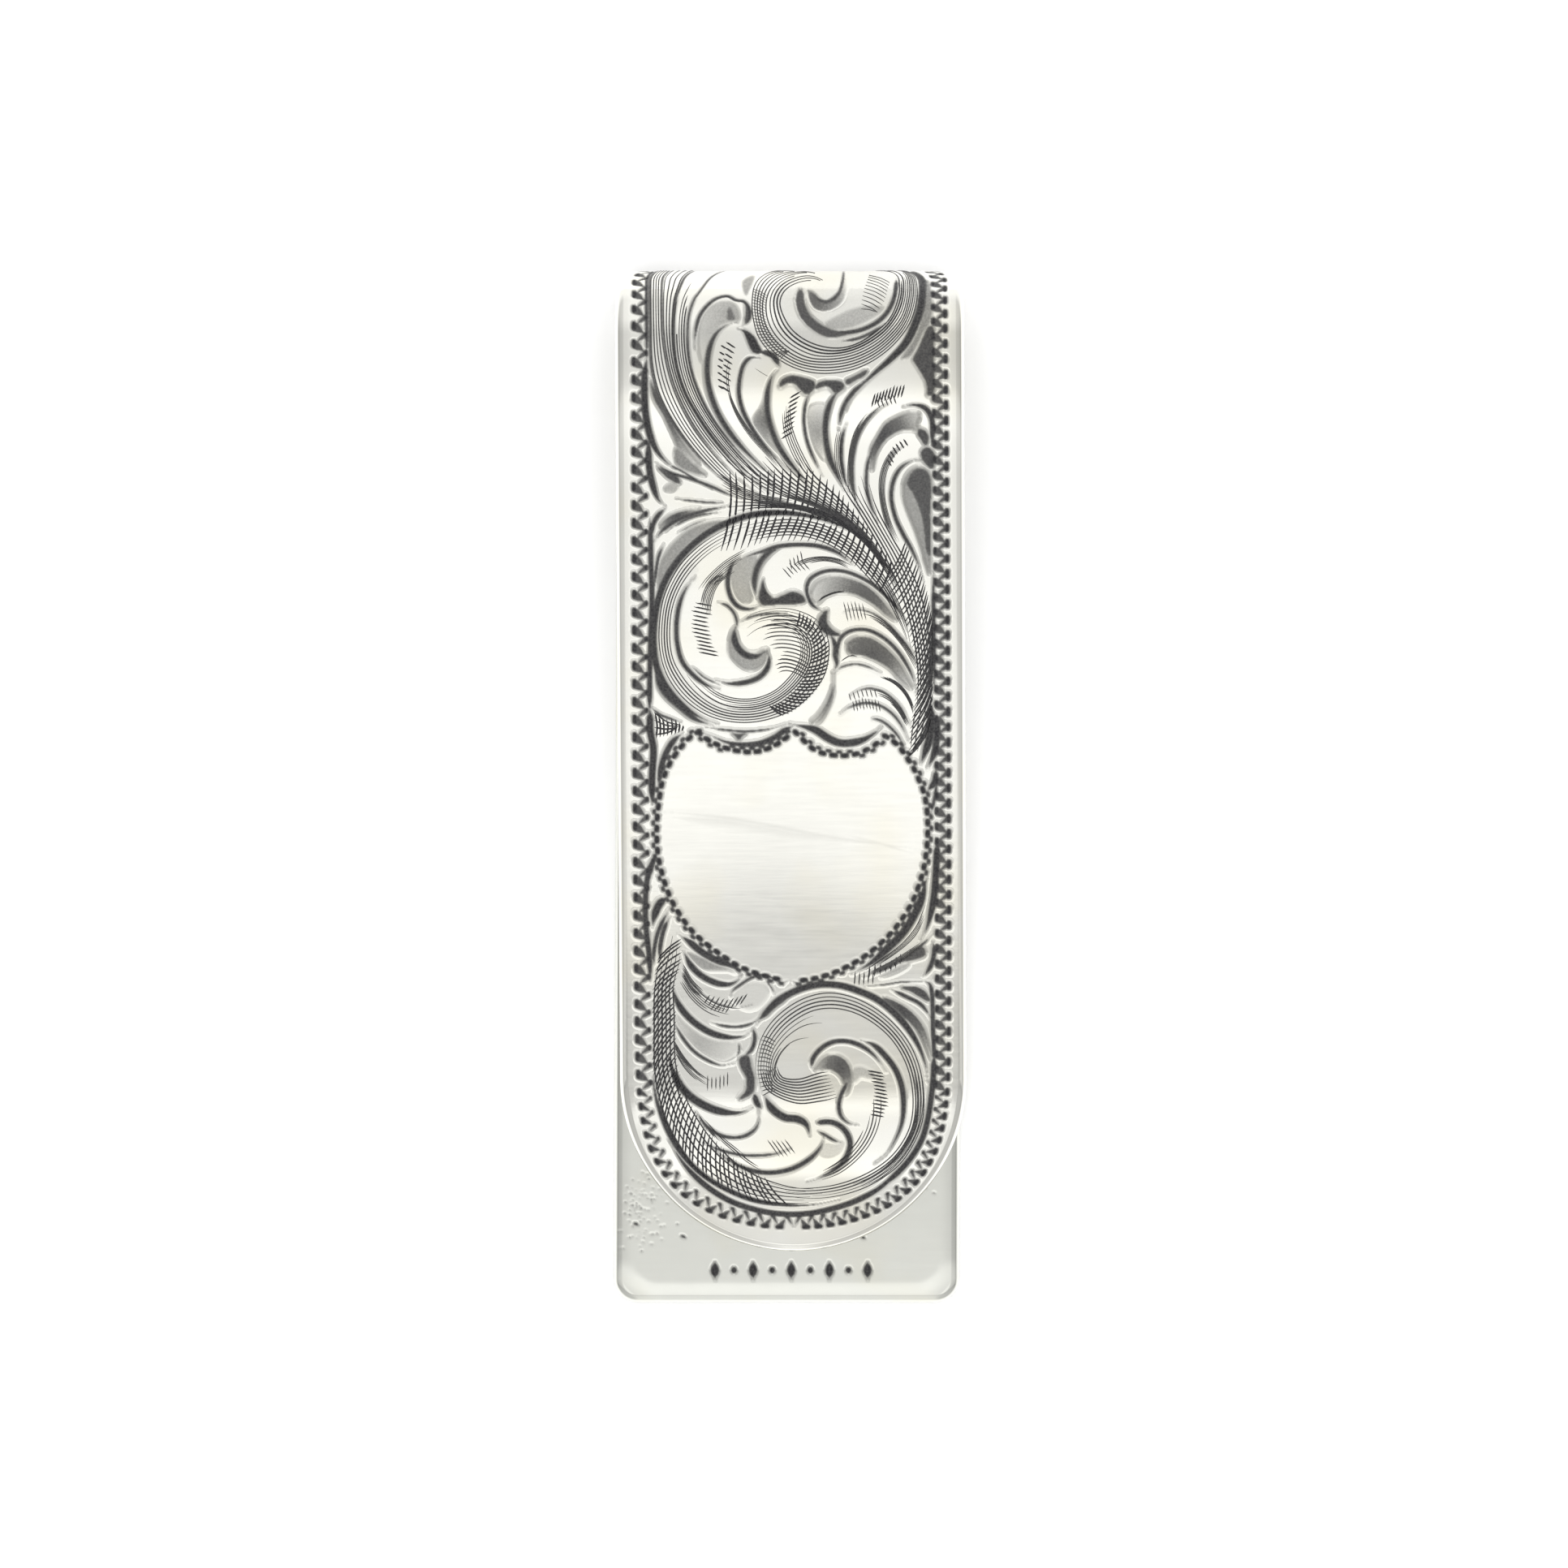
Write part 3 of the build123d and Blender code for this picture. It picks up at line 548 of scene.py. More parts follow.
def upper_bud_lobes():
    """The lobes over the middle scroll's bud, under the band of cross-hatching."""
    cut((3.4, 16.2), (2.6, 15.5), (1.5, 15.12), (0.3, 15.05), (-0.7, 15.15), (-1.5, 15.4), (-2.3, 15.65),
        (-3, 16), wide=0.22)
    ground((-3.2, 16.4), (-2.8, 15.95), (-2.1, 15.65), (-1.75, 15.85), (-2.05, 16.5), (-2.2, 17.3),
           (-2.1, 18), (-2.5, 18.25), (-3, 17.8), (-3.25, 17.1), tone=0.36, sink=0.04)
    cut((-2.7, 15.8), (-3.15, 16.1), (-3.4, 16.7), (-3.42, 17.4), (-3.2, 18.05), (-2.8, 18.45),
        (-2.2, 18.55), (-1.5, 18.3), wide=0.22)
    cut((-0.6, 15.25), (-1.3, 15.6), (-1.75, 16.2), (-1.95, 16.9), (-1.95, 17.5), (-1.85, 18), wide=0.42,
        lean=0.2, gain=1.3)
    ground((-1.55, 17.2), (-1.35, 17.7), (-0.95, 17.98), (-0.4, 17.78), (0.1, 17.6), (0.6, 17.78),
           (0.78, 18.15), (0.2, 18.3), (-0.8, 18.32), (-1.5, 18.35), (-1.75, 17.95), tone=0.9)
    cut((-1.5, 16.9), (-1.52, 17.3), (-1.3, 17.75), (-0.9, 17.98), wide=0.16)
    stem = curve((-0.2, 16.35), (0.3, 16), (1, 15.75), (1.8, 15.68), (2.6, 15.8), (3.4, 16.2))
    fan(stem, curve((0.3, 16.4), (1, 16.1), (1.8, 15.95), (2.6, 16.1), (3.3, 16.45)), 4, wide=0.06,
        start=(0.1, 0.3))
    comb(curve((-0.2, 16.6), (0.2, 16.3), (0.8, 16.15)), 6, 0.6, 50, wide=0.06)
    comb(curve((0, 16.1), (0.6, 15.7)), 4, 0.5, 80, wide=0.06)
    # The hollow hook on the right
    cut((1.75, 18.72), (1.15, 18.3), (0.87, 17.6), (1, 17), (1.5, 16.62), (2.2, 16.45), (3, 16.52),
        (3.8, 16.82), (4.6, 17.3), (5.3, 17.95), (5.9, 18.65), (6.4, 19.5), wide=0.18, taper=(0.1, 0.3))
    ground((1.1, 17.5), (1.5, 16.98), (2.3, 16.75), (3.2, 16.88), (4, 17.2), (4.7, 17.75), (5.3, 18.45),
           (5.8, 19.2), (5.2, 18.9), (4.5, 18.3), (3.6, 17.8), (2.7, 17.66), (1.9, 17.9), (1.4, 18.3),
           (1.1, 18), tone=0.72, toward=(4.2, 17.8))
    line((1.5, 18.1), (2.2, 17.75), (2.9, 17.6), wide=0.09)
    # Lobe with a comb, then the next hollow hook and the broad lobe above the shield
    ground((1.98, 18.6), (1.6, 18.95), (1.5, 19.4), (1.75, 19.8), (2.3, 20.05), (2.7, 19.95), (2.3, 19.7),
           (1.95, 19.25), tone=0.9)
    cut((2.15, 19.9), (2.4, 20.5), (2.4, 21.1), (2.5, 21.5), (2.35, 22), wide=0.22)
    ribs = curve((2.9, 18.68), (3.8, 18.6), (4.6, 18.85), (5.3, 19.35), (6, 20.1), (6.6, 20.9), (7, 21.8))
    plate.groove(ribs, 0.05, 0.04, 0.85)
    fan(ribs, curve((4.2, 18.95), (4.8, 19.3), (5.5, 19.9), (6.2, 20.8), (6.8, 21.9)), 4, wide=0.06,
        start=(0, 0.3))
    comb(curve((3, 18.7), (3.5, 18.65), (4, 18.7)), 6, 0.95, 78, wide=0.055)
    cut((2.6, 21.3), (2.55, 20.6), (2.8, 20.02), (3.4, 19.7), (4.2, 19.7), (5, 20.08), (5.7, 20.7),
        (6.2, 21.4), (6.6, 22.2), (6.85, 23.2), wide=0.18, taper=(0.1, 0.3))
    ground((3.05, 20.4), (3.6, 20.05), (4.3, 20.1), (5, 20.5), (5.7, 21.15), (6.2, 21.9), (6.6, 22.9),
           (6, 22.5), (5.4, 21.85), (4.7, 21.4), (3.9, 21.08), (3.2, 21), tone=0.78, toward=(4.4, 21.1))
    line((2.7, 21.4), (3.2, 21.1), (3.6, 21.15), wide=0.06)
    cut((2.35, 22.1), (2.75, 21.72), (3.5, 21.55), (4.2, 21.7), (4.9, 22.05), wide=0.09)
    ground((2.3, 22), (2.25, 22.8), (1.95, 23.6), (1.5, 24.3), (1.05, 24.75), (1.5, 24.75), (2, 24),
           (2.3, 23.1), tone=0.85, toward=(2.1, 22.6))
    broad_lobe_ribs()
    cut((-0.1, 24.8), (0.6, 24.95), (1.3, 25.15), (2, 25.6), (2.6, 25.85), (3.3, 25.85), (4, 25.65),
        (4.7, 25.2), (5, 24.9), wide=0.4, lean=-0.2, taper=(0.3, 0.35))


def broad_lobe_ribs():
    """The three ribs that run down the broad lobe above the shield, with their combs."""
    upper = curve((3.2, 23.3), (3.7, 23), (4.3, 22.88), (5, 23.05), (5.6, 23.5), (6.1, 24.1), (6.5, 24.9))
    lower = curve((2.65, 24.3), (3.2, 23.9), (4, 23.68), (4.8, 23.8), (5.5, 24.25), (6, 24.9), (6.4, 25.8))
    plate.groove(upper, 0.06, 0.04, 0.9)
    plate.groove(lower, 0.08, 0.05, 0.92)
    fan(upper, curve((4.6, 23.2), (5.2, 23.5), (5.8, 24.1), (6.3, 25)), 4, wide=0.06, start=(0.2, 0.3))
    comb(curve((3.2, 23.35), (3.9, 23.15), (4.6, 23.15)), 7, 0.45, 75, wide=0.055)
    comb(curve((3.4, 23.85), (4, 23.7), (4.8, 23.85)), 9, 0.6, 82, wide=0.06)
    cut((4.2, 24.55), (4.8, 24.6), (5.4, 25), (5.9, 25.6), (6.2, 26.2), wide=0.12)
    fan(curve((4.8, 22.25), (5.5, 22.55), (6.1, 23.1), (6.5, 23.8), (6.7, 24.6)),
        curve((5.2, 22.2), (5.9, 22.6), (6.4, 23.2), (6.75, 24)), 3, wide=0.07)


def crossing_band():
    """The cross-hatched band between the lobes and the middle scroll, and the wedge on its right."""
    upper = curve((-3.4, 11), (-2.4, 11.2), (-1.2, 11), (0, 10.9), (1.2, 11), (2.4, 11.8), (3.4, 13),
                  (4.6, 14.6), (5.5, 15.9))
    lower = curve((-3.8, 15.4), (-2.7, 15.3), (-1.5, 14.95), (-0.2, 14.85), (1, 14.9), (2.2, 15.3),
                  (3.2, 16), (3.9, 16.6), (4.9, 17.7))
    across(upper, lower, 27, wide=0.11, skew=-0.01, start=0.01)
    # Long lines that flow through the band from the left sheaf, and on down the wedge
    fan(curve((-4.2, 10.8), (-3, 11.7), (-1.6, 12.3), (0, 12.6), (1.4, 12.9)),
        curve((-3.6, 12.1), (-2.4, 12.6), (-1, 12.85), (0.4, 13)), 6, wide=0.07, end=(0.9, 0.2))
    fan(curve((-3.4, 12.3), (-1.8, 12.6), (0, 12.8), (1.8, 13.2), (3.2, 13.9), (4.4, 14.9), (5.4, 16.3),
              (6.2, 18)),
        curve((-3.2, 13.4), (-1.8, 13.1), (0, 13.1), (1.6, 13.5), (3, 14.2), (4.2, 15.2), (5.2, 16.6),
              (6, 18.2)), 4, wide=0.08)
    fan(curve((-4, 10.2), (-2.6, 11.3), (-1, 12.2), (0.8, 12.8), (2.4, 13.5), (3.8, 14.5), (5, 16)),
        curve((0.6, 10), (1.4, 11.2), (2.2, 12), (3, 12.8), (4, 14), (5, 15.4), (6, 17.2)), 12, wide=0.075,
        end=(0.9, 0.3))
    fan(curve((2.2, 10.8), (2.8, 12), (3.6, 13.2), (4.4, 14.5), (5.2, 16), (6.05, 18), (6.6, 20),
              (6.85, 22), (6.8, 24)),
        curve((4.4, 11.5), (4.8, 13), (5.6, 14.6), (6.4, 16), (7.2, 17.8), (7.6, 20), (7.75, 22),
              (7.65, 24)), 6, wide=0.075)
    fan(curve((-3, 14.1), (-1.6, 13.75), (0, 13.6), (1.6, 13.85), (3, 14.5), (4.2, 15.5), (5.3, 17),
              (6.2, 19), (6.7, 21.6)),
        curve((-2.6, 15), (-1.2, 14.7), (0.2, 14.6), (1.7, 14.95), (3, 15.7), (4.2, 16.9), (5.3, 18.2),
              (6.2, 20), (6.8, 22)), 6, wide=0.075, end=(0.95, 0.2))
    left = curve((5.1, 15.2), (5, 16.4), (5.4, 17.8), (6, 18.9), (6.5, 20.2), (6.8, 22), (6.75, 23.5),
                 (6.5, 25), (6.4, 26.6))
    right = curve((6.3, 14.8), (7, 16.2), (7.45, 17.6), (7.7, 19), (7.75, 20.4), (7.75, 22), (7.75, 23.3),
                  (7.7, 24.2), (7.3, 25.6))
    across(right, left, 40, wide=0.085, skew=0.15, end=0.97)
    fan(curve((6.95, 20.5), (6.9, 22), (6.75, 23.5), (6.5, 25), (6.4, 26.4)),
        curve((7.7, 20.5), (7.7, 22), (7.55, 23.5), (7.3, 25), (6.9, 26.6)), 3, wide=0.07, start=(0.4, 0.2))
    cut((7.78, 16.5), (7.78, 19), (7.8, 21), (7.8, 23.4), wide=0.2)
    cut((7.6, 23.6), (7.65, 24.6), (7.55, 25.6), (7.25, 26.5), (7, 27.1), wide=0.42, lean=0.2)
    cut((7.95, 24.3), (7.95, 25.4), (7.8, 26.4), (7.4, 27.3), wide=0.34)
    cut((7.9, 27.3), (7.8, 28), (7.4, 28.5), wide=0.3)
    cut((7.95, 28), (7.8, 28.9), (7.6, 29.8), wide=0.16)


def shield_edges():
    """The left side's dark leaves beside the shield, and the crescents over it."""
    cut((-4.9, 25.3), (-4.3, 25.5), (-3.6, 25.8), (-2.7, 25.95), (-1.8, 25.9), (-1, 25.6), (-0.4, 25.2),
        (0.1, 24.9), wide=0.3, lean=-0.2, taper=(0.6, 0.1))
    cut((-4.7, 25), (-3.6, 25.15), (-2.4, 25.22), (-1.2, 25.1), (-0.3, 24.85), wide=0.1)
    ground((-3.3, 25.3), (-2.9, 25.35), (-2.4, 25.3), (-2.7, 25.5), (-2.9, 25.75), (-3.05, 25.5), tone=0.8)
    cut((-7.72, 24), (-7.72, 25.2), (-7.55, 26.2), (-7.62, 27.4), (-7.65, 28.4), (-7.6, 29.4), wide=0.36,
        taper=(0.1, 0.2))
    cut((-5.95, 25.3), (-6.5, 25.8), (-6.95, 26.6), (-7.2, 27.5), (-7.35, 28.4), wide=0.3)
    across(curve((-7.45, 24.2), (-7, 24.5), (-6.4, 24.55), (-5.9, 24.9)),
           curve((-7.4, 25.6), (-7, 25.5), (-6.4, 25.4), (-6, 25.2)), 8, wide=0.1)
    fan(curve((-7.5, 24), (-6.8, 24.6), (-5.9, 24.9)), curve((-7.5, 25.6), (-6.8, 25.4), (-6.2, 25)), 4,
        wide=0.08)
    cut((-7.7, 23.9), (-7.2, 24.3), (-6.7, 24.5), (-6, 24.75), wide=0.12)
    # Below: leaves that rise into the corner on the left, and the sweep on the right
    cut((-7.7, 32.2), (-7.95, 33.4), (-8.05, 34.8), (-8, 36.2), (-7.85, 37.6), (-7.8, 39.2), wide=0.28,
        taper=(0.1, 0.2))
    cut((-7.4, 31.9), (-7.7, 32.6), (-7.8, 33.3), wide=0.26)
    cut((-6.9, 34.3), (-7.3, 34.7), (-7.55, 35.3), (-7.7, 36), wide=0.4, taper=(0.2, 0.5))
    cut((-6.75, 35), (-7.15, 35.7), (-7.45, 36.5), (-7.6, 37.4), (-7.6, 38.3), wide=0.2)
    cut((-6.75, 35.4), (-7.05, 36.1), (-7.25, 37), (-7.3, 37.9), wide=0.22)
    cut((7.95, 31.3), (7.87, 32.8), (7.75, 34.3), (7.45, 35.7), (7.05, 36.7), wide=0.36, taper=(0.1, 0.4))
    cut((7.4, 33), (7.1, 34.3), (6.6, 35.4), (6, 36.3), (5.2, 37.1), (4.3, 37.9), (3.2, 38.55), wide=0.42,
        lean=-0.2)
    fan(curve((7.3, 34.6), (6.8, 35.8), (6, 36.8), (5, 37.6), (3.8, 38.4)),
        curve((7.2, 35.6), (6.7, 36.5), (5.8, 37.3), (4.6, 38.1)), 4)


def lower_sweep():
    """The leaves that leave the cross-hatched corner right of the shield's foot."""
    cut((7.75, 36.3), (7.1, 36.9), (6.4, 37.45), (5.6, 37.95), (4.8, 38.35), (3.9, 38.7), wide=0.16)
    comb(curve((4.2, 38.4), (4.8, 38.25), (5.4, 38.05), (5.9, 37.7)), 7, 0.55, 95, wide=0.085)
    comb(curve((3.4, 38.8), (3.9, 38.75), (4.4, 38.7)), 5, 0.7, 95, wide=0.07)
    fan(curve((7.1, 36.7), (6.2, 37.3), (5.2, 37.9), (4, 38.5)),
        curve((6.9, 37.1), (6, 37.7), (5, 38.2), (4, 38.65)), 4)
    ground((7.3, 37.4), (7.1, 37), (6.4, 37.45), (5.9, 37.85), (6.6, 37.75), (7.1, 37.6), tone=0.8)
    ground((5.6, 38.2), (6.4, 37.9), (6.2, 38.2), (5.4, 38.6), (4.8, 38.7), tone=0.35, sink=0.03)
    cut((7.7, 36.7), (7.75, 37.4), (7.55, 38.1), (7.15, 38.7), wide=0.24)
    cut((7.1, 38.93), (6, 38.95), (5, 39.1), (3.9, 39.2), wide=0.08)
    ground((7.5, 40.05), (7.3, 39.5), (6.7, 39.2), (5.9, 39.25), (6.5, 39.5), (7, 39.8), tone=0.85)
    cut((5.4, 39.35), (6.2, 39.75), (6.9, 40.1), (7.3, 40.5), (7.6, 41), wide=0.2)
    cut((7, 38.95), (7.45, 39), (7.62, 39.5), (7.66, 40.4), (7.68, 41.6), (7.74, 43), wide=0.22,
        taper=(0.2, 0))
    ground((4.9, 39.8), (5.8, 40.1), (6.5, 40.6), (7.1, 41.3), (7.45, 42.2), (7.6, 43.3), (7.25, 42.6),
           (6.75, 41.6), (6, 40.8), tone=0.88, toward=(6, 40.5))


def bottom_scroll():
    """The round scroll at the tip."""
    cut((-2.1, 41.4), (-1.5, 40.6), (-0.7, 39.9), (0.4, 39.35), (1.5, 39.1), (2.6, 39.15), (3.6, 39.45),
        (4.6, 39.9), (5.5, 40.6), (6.3, 41.5), (6.9, 42.5), (7.25, 43.5), (7.45, 44.6), wide=0.36,
        lean=-0.2, taper=(0.15, 0.3))
    cut((-1.9, 41.1), (-1, 40.2), (0, 39.6), wide=0.4, gain=1.6)
    outer = curve((-1.9, 45.3), (-2.15, 43.8), (-1.95, 42.4), (-1.4, 41.3), (-0.5, 40.4), (0.6, 39.75),
                  (1.8, 39.45), (3, 39.6), (4.2, 40.1), (5.3, 40.9), (6.2, 41.9), (6.8, 43), (7.15, 44.3),
                  (7.25, 45.6), (7.1, 46.8), (6.6, 48), (5.8, 49.1), (4.6, 50), (3.2, 50.6), (1.6, 50.9),
                  (0, 50.85), (-1.6, 50.5))
    middle = curve((-1.2, 45), (-1.4, 43.8), (-1.2, 42.7), (-0.6, 41.8), (0.2, 41.1), (1.2, 40.6),
                   (2.3, 40.5), (3.4, 40.75), (4.4, 41.3), (5.3, 42.1), (5.95, 43.1), (6.35, 44.2),
                   (6.5, 45.4), (6.4, 46.6), (6, 47.6), (5.2, 48.6), (4, 49.4), (2.6, 49.95), (1.2, 50.2),
                   (-0.2, 50.2), (-1.5, 49.9))
    inner = curve((-0.8, 44.7), (-1, 43.8), (-0.8, 42.9), (-0.2, 42.1), (0.6, 41.5), (1.6, 41.1),
                  (2.6, 41.1), (3.5, 41.4))
    spiral_lines((outer, middle), 5, wide=0.065, start=(0, 0.05), end=(1, 0.1))
    fan(middle, resampled(inner, len(middle)), 5, start=(0, 0.05), end=(0.35, 0.2))
    fan(curve((6.5, 43.8), (6.75, 45.4), (6.5, 47), (5.7, 48.4), (4.4, 49.5), (3, 50.1)),
        curve((7.1, 43.8), (7.2, 45.4), (6.95, 47), (6.1, 48.6), (4.8, 49.8), (3.2, 50.5)), 3, wide=0.06)
    across(curve((-1.7, 41.9), (-1.95, 43), (-2, 44), (-1.7, 45.2)),
           curve((-0.9, 42.1), (-1.1, 43), (-1.15, 44), (-0.9, 44.9)), 15, wide=0.06, skew=0.06)
    # The bud's flank, in arcs that turn up to the eye
    for place in np.linspace(0, 1, 9):
        line((-0.9 - 0.9 * place, 43.6 + 0.2 * place), (-0.6 - 0.8 * place, 44.2 + 0.7 * place),
             (0.3 - 0.2 * place, 44.3 + 1.3 * place), (1.3 + 0.2 * place, 44 + 1.5 * place),
             (1.9 + 0.5 * place, 43.9 + 1.4 * place), wide=0.075)
    cut((1, 43.75), (1.1, 43.15), (1.55, 42.6), (2.2, 42.25), (3, 42.22), (3.8, 42.5), (4.5, 43.05),
        (5.1, 43.9), wide=0.24, lean=-0.2, taper=(0.1, 0.4))
    cut((3.7, 42.15), (4.4, 42.4), (5, 42.95), (5.6, 43.75), (5.95, 44.7), (6.05, 45.7), (5.95, 46.7),
        (5.6, 47.6), (5.1, 48.4), (4.4, 48.95), wide=0.3, lean=-0.1, taper=(0.15, 0.6))
    ground((1.15, 43.78), (1.5, 43.25), (2, 42.95), (2.6, 43.05), (3.05, 43.5), (3.2, 44.2), (3.05, 44.9),
           (2.75, 45.2), (2.8, 44.6), (2.5, 44.05), (2, 43.78), (1.5, 43.82), tone=0.82, toward=(2.6, 43.6))
    cut((2.95, 44.5), (2.65, 45.1), (2.5, 45.7), (2.6, 46.3), (3, 46.7), (3.6, 46.85), wide=0.2,
        taper=(0.1, 0.5))
    ground((3.2, 43.9), (3.6, 43.6), (4.3, 43.9), (4.4, 44.3), (3.7, 44.2), (3.3, 44.5), tone=0.3,
           sink=0.02)
    flank = curve((4.55, 44), (4.85, 45), (4.9, 46), (4.7, 47), (4.2, 48), (3.4, 48.9), (2.4, 49.6),
                  (1.2, 50))
    fan(flank, curve((4, 45.4), (3.95, 46.3), (3.7, 47.2), (3.2, 48), (2.4, 48.8), (1.4, 49.4)), 5,
        wide=0.06, start=(0.1, 0.3))
    comb(curve((4.5, 43.9), (4.75, 44.7), (4.8, 45.5), (4.6, 46.3)), 13, 0.75, 12, wide=0.09)


def tip_lobes():
    """The lobes inside the lower sheaf, down the left of the tip."""
    cut((-6.2, 36.35), (-5.6, 36.8), (-5, 37.3), (-4.2, 37.75), (-3.5, 38), (-3, 38.3), (-2.85, 38.65),
        wide=0.36, lean=-0.3)
    ground((-5.8, 37.3), (-5, 37.6), (-4.2, 38), (-3.4, 38.25), (-3.1, 38.5), (-3.6, 38.3), (-4.6, 38.3),
           (-5.2, 38), tone=0.45, sink=0.04)
    cut((-6, 37.2), (-5.6, 38), (-5, 38.6), (-4.2, 39), (-3.5, 39.08), (-3, 38.85), (-2.75, 38.5),
        wide=0.32, lean=0.2)
    sheaf = curve((-6, 38.2), (-5.4, 39.1), (-4.7, 39.8), (-3.9, 40.2), (-3, 40.35), (-2.2, 40.2))
    fan(sheaf, curve((-6.2, 39), (-5.6, 39.9), (-4.8, 40.6), (-3.8, 41), (-2.8, 41.1)), 6, wide=0.055,
        end=(0.9, 0.4))
    fan(curve((-6, 37.9), (-5.5, 38.8), (-4.8, 39.5)), curve((-6.1, 38.6), (-5.6, 39.4), (-5, 40)), 6,
        wide=0.06)
    plate.groove(sheaf, 0.04, 0.03, 0.8)
    comb(curve((-4.7, 39.9), (-4, 40.15), (-3.3, 40.1), (-2.7, 39.9)), 9, 0.62, -55, wide=0.075)
    comb(curve((-4.4, 40.35), (-3.6, 40.5)), 5, 0.35, -55, wide=0.06)
    ground((-3.3, 39.8), (-3, 39.3), (-2.3, 39), (-1.5, 39.1), (-1.3, 39.6), (-1.8, 40.3), (-2.5, 40.5),
           (-3.1, 40.2), tone=0.16, sink=0.01)
    cut((-3.4, 39.85), (-3.3, 39.45), (-2.8, 39.05), (-2.2, 38.7), (-1.6, 38.58), (-1.05, 38.75),
        (-0.6, 39), wide=0.14)
    cut((-1.45, 38.9), (-1.15, 39.3), (-1, 39.7), wide=0.07)
    cut((-4.5, 41.18), (-3.7, 41.38), (-2.9, 41.4), (-2.2, 41.2), (-1.75, 40.85), wide=0.14)
    cut((-6.65, 39.1), (-6.3, 40.1), (-5.8, 40.8), (-5.1, 41.4), (-4.3, 41.82), (-3.4, 42), (-2.7, 41.92),
        (-2.25, 41.65), wide=0.34, lean=0.1)
    ground((-6.5, 40.7), (-6, 41.2), (-5.2, 41.8), (-4.3, 42.15), (-3.2, 42.25), (-2.9, 42.6), (-3.1, 43),
           (-3.8, 43.35), (-4.6, 43.1), (-5.4, 42.5), (-6.1, 41.7), tone=0.36, sink=0.03,
           toward=(-5.2, 42.3))
    cut((-6.6, 41), (-6.1, 41.95), (-5.5, 42.7), (-4.8, 43.2), (-4, 43.52), (-3.3, 43.45), wide=0.16)
    cut((-3, 42.3), (-2.95, 42.7), (-3.1, 43.1), wide=0.09)
    cut((-2.2, 41.4), (-2.1, 42.1), (-2.3, 42.7), (-2.8, 43.1), wide=0.2)
    ground((-2.95, 43.15), (-2.45, 43), (-2.3, 43.6), (-2.12, 44.3), (-2.2, 45), (-2.6, 45.3), (-3, 45.42),
           (-2.6, 44.9), (-2.58, 44.2), (-2.85, 43.7), tone=0.88)
    fan(curve((-6.6, 42), (-6, 43), (-5.2, 43.9), (-4.2, 44.5), (-3.2, 44.7)),
        curve((-6.5, 42.8), (-5.9, 43.8), (-5, 44.6), (-4, 45)), 6, wide=0.055, end=(0.85, 0.4))
    comb(curve((-4.7, 44.5), (-4.1, 44.5), (-3.6, 44.3)), 6, 0.75, 92, wide=0.06)
    cut((-6.85, 43), (-6.5, 44.1), (-6, 44.9), (-5.3, 45.5), (-4.4, 45.95), (-3.5, 46.15), (-2.8, 46.1),
        (-2.2, 45.85), wide=0.42, lean=0.1)
    cut((-2.15, 45.1), (-2, 45.6), (-1.75, 45.9), wide=0.3)
    cut((-5.4, 46.1), (-4.7, 46.95), (-3.9, 47.42), (-3, 47.5), (-2.3, 47.22), (-1.92, 46.7), (-1.9, 45.9),
        wide=0.18)
    cut((-1.6, 45.15), (-1.2, 45.9), (-0.5, 46.4), (0.2, 46.5), (0.7, 46.8), (0.92, 47.5), wide=0.4,
        lean=-0.2)
    cut((-5, 47.8), (-4, 48.2), (-3, 48.45), (-2, 48.5), (-1, 48.4), (-0.1, 48.1), wide=0.14)
    comb(curve((-1.1, 48.1), (-0.7, 48.1), (-0.2, 48)), 5, 1, 55, wide=0.06)
    cut((1.7, 47.3), (1.55, 47.9), (1.1, 48.5), (0.4, 49), (-0.4, 49.32), (-1.4, 49.45), (-2.4, 49.3),
        (-3.3, 48.9), (-4.3, 48.2), wide=0.24, lean=0.1)
    cut((1.25, 46.7), (2, 46.65), (2.6, 46.9), (3, 47.4), (3.1, 48), (2.8, 48.75), (2.2, 49.3),
        (1.4, 49.75), (0.7, 49.95), wide=0.28, taper=(0.05, 0.5))
    cut((1.3, 47.15), (1.7, 47.35), (2.2, 47.65), (2.65, 47.8), wide=0.14)
    ground((1.6, 47.9), (2.3, 47.9), (2.8, 47.7), (2.6, 48.3), (1.9, 48.6), (1.4, 48.4), tone=0.2,
           sink=0.01)


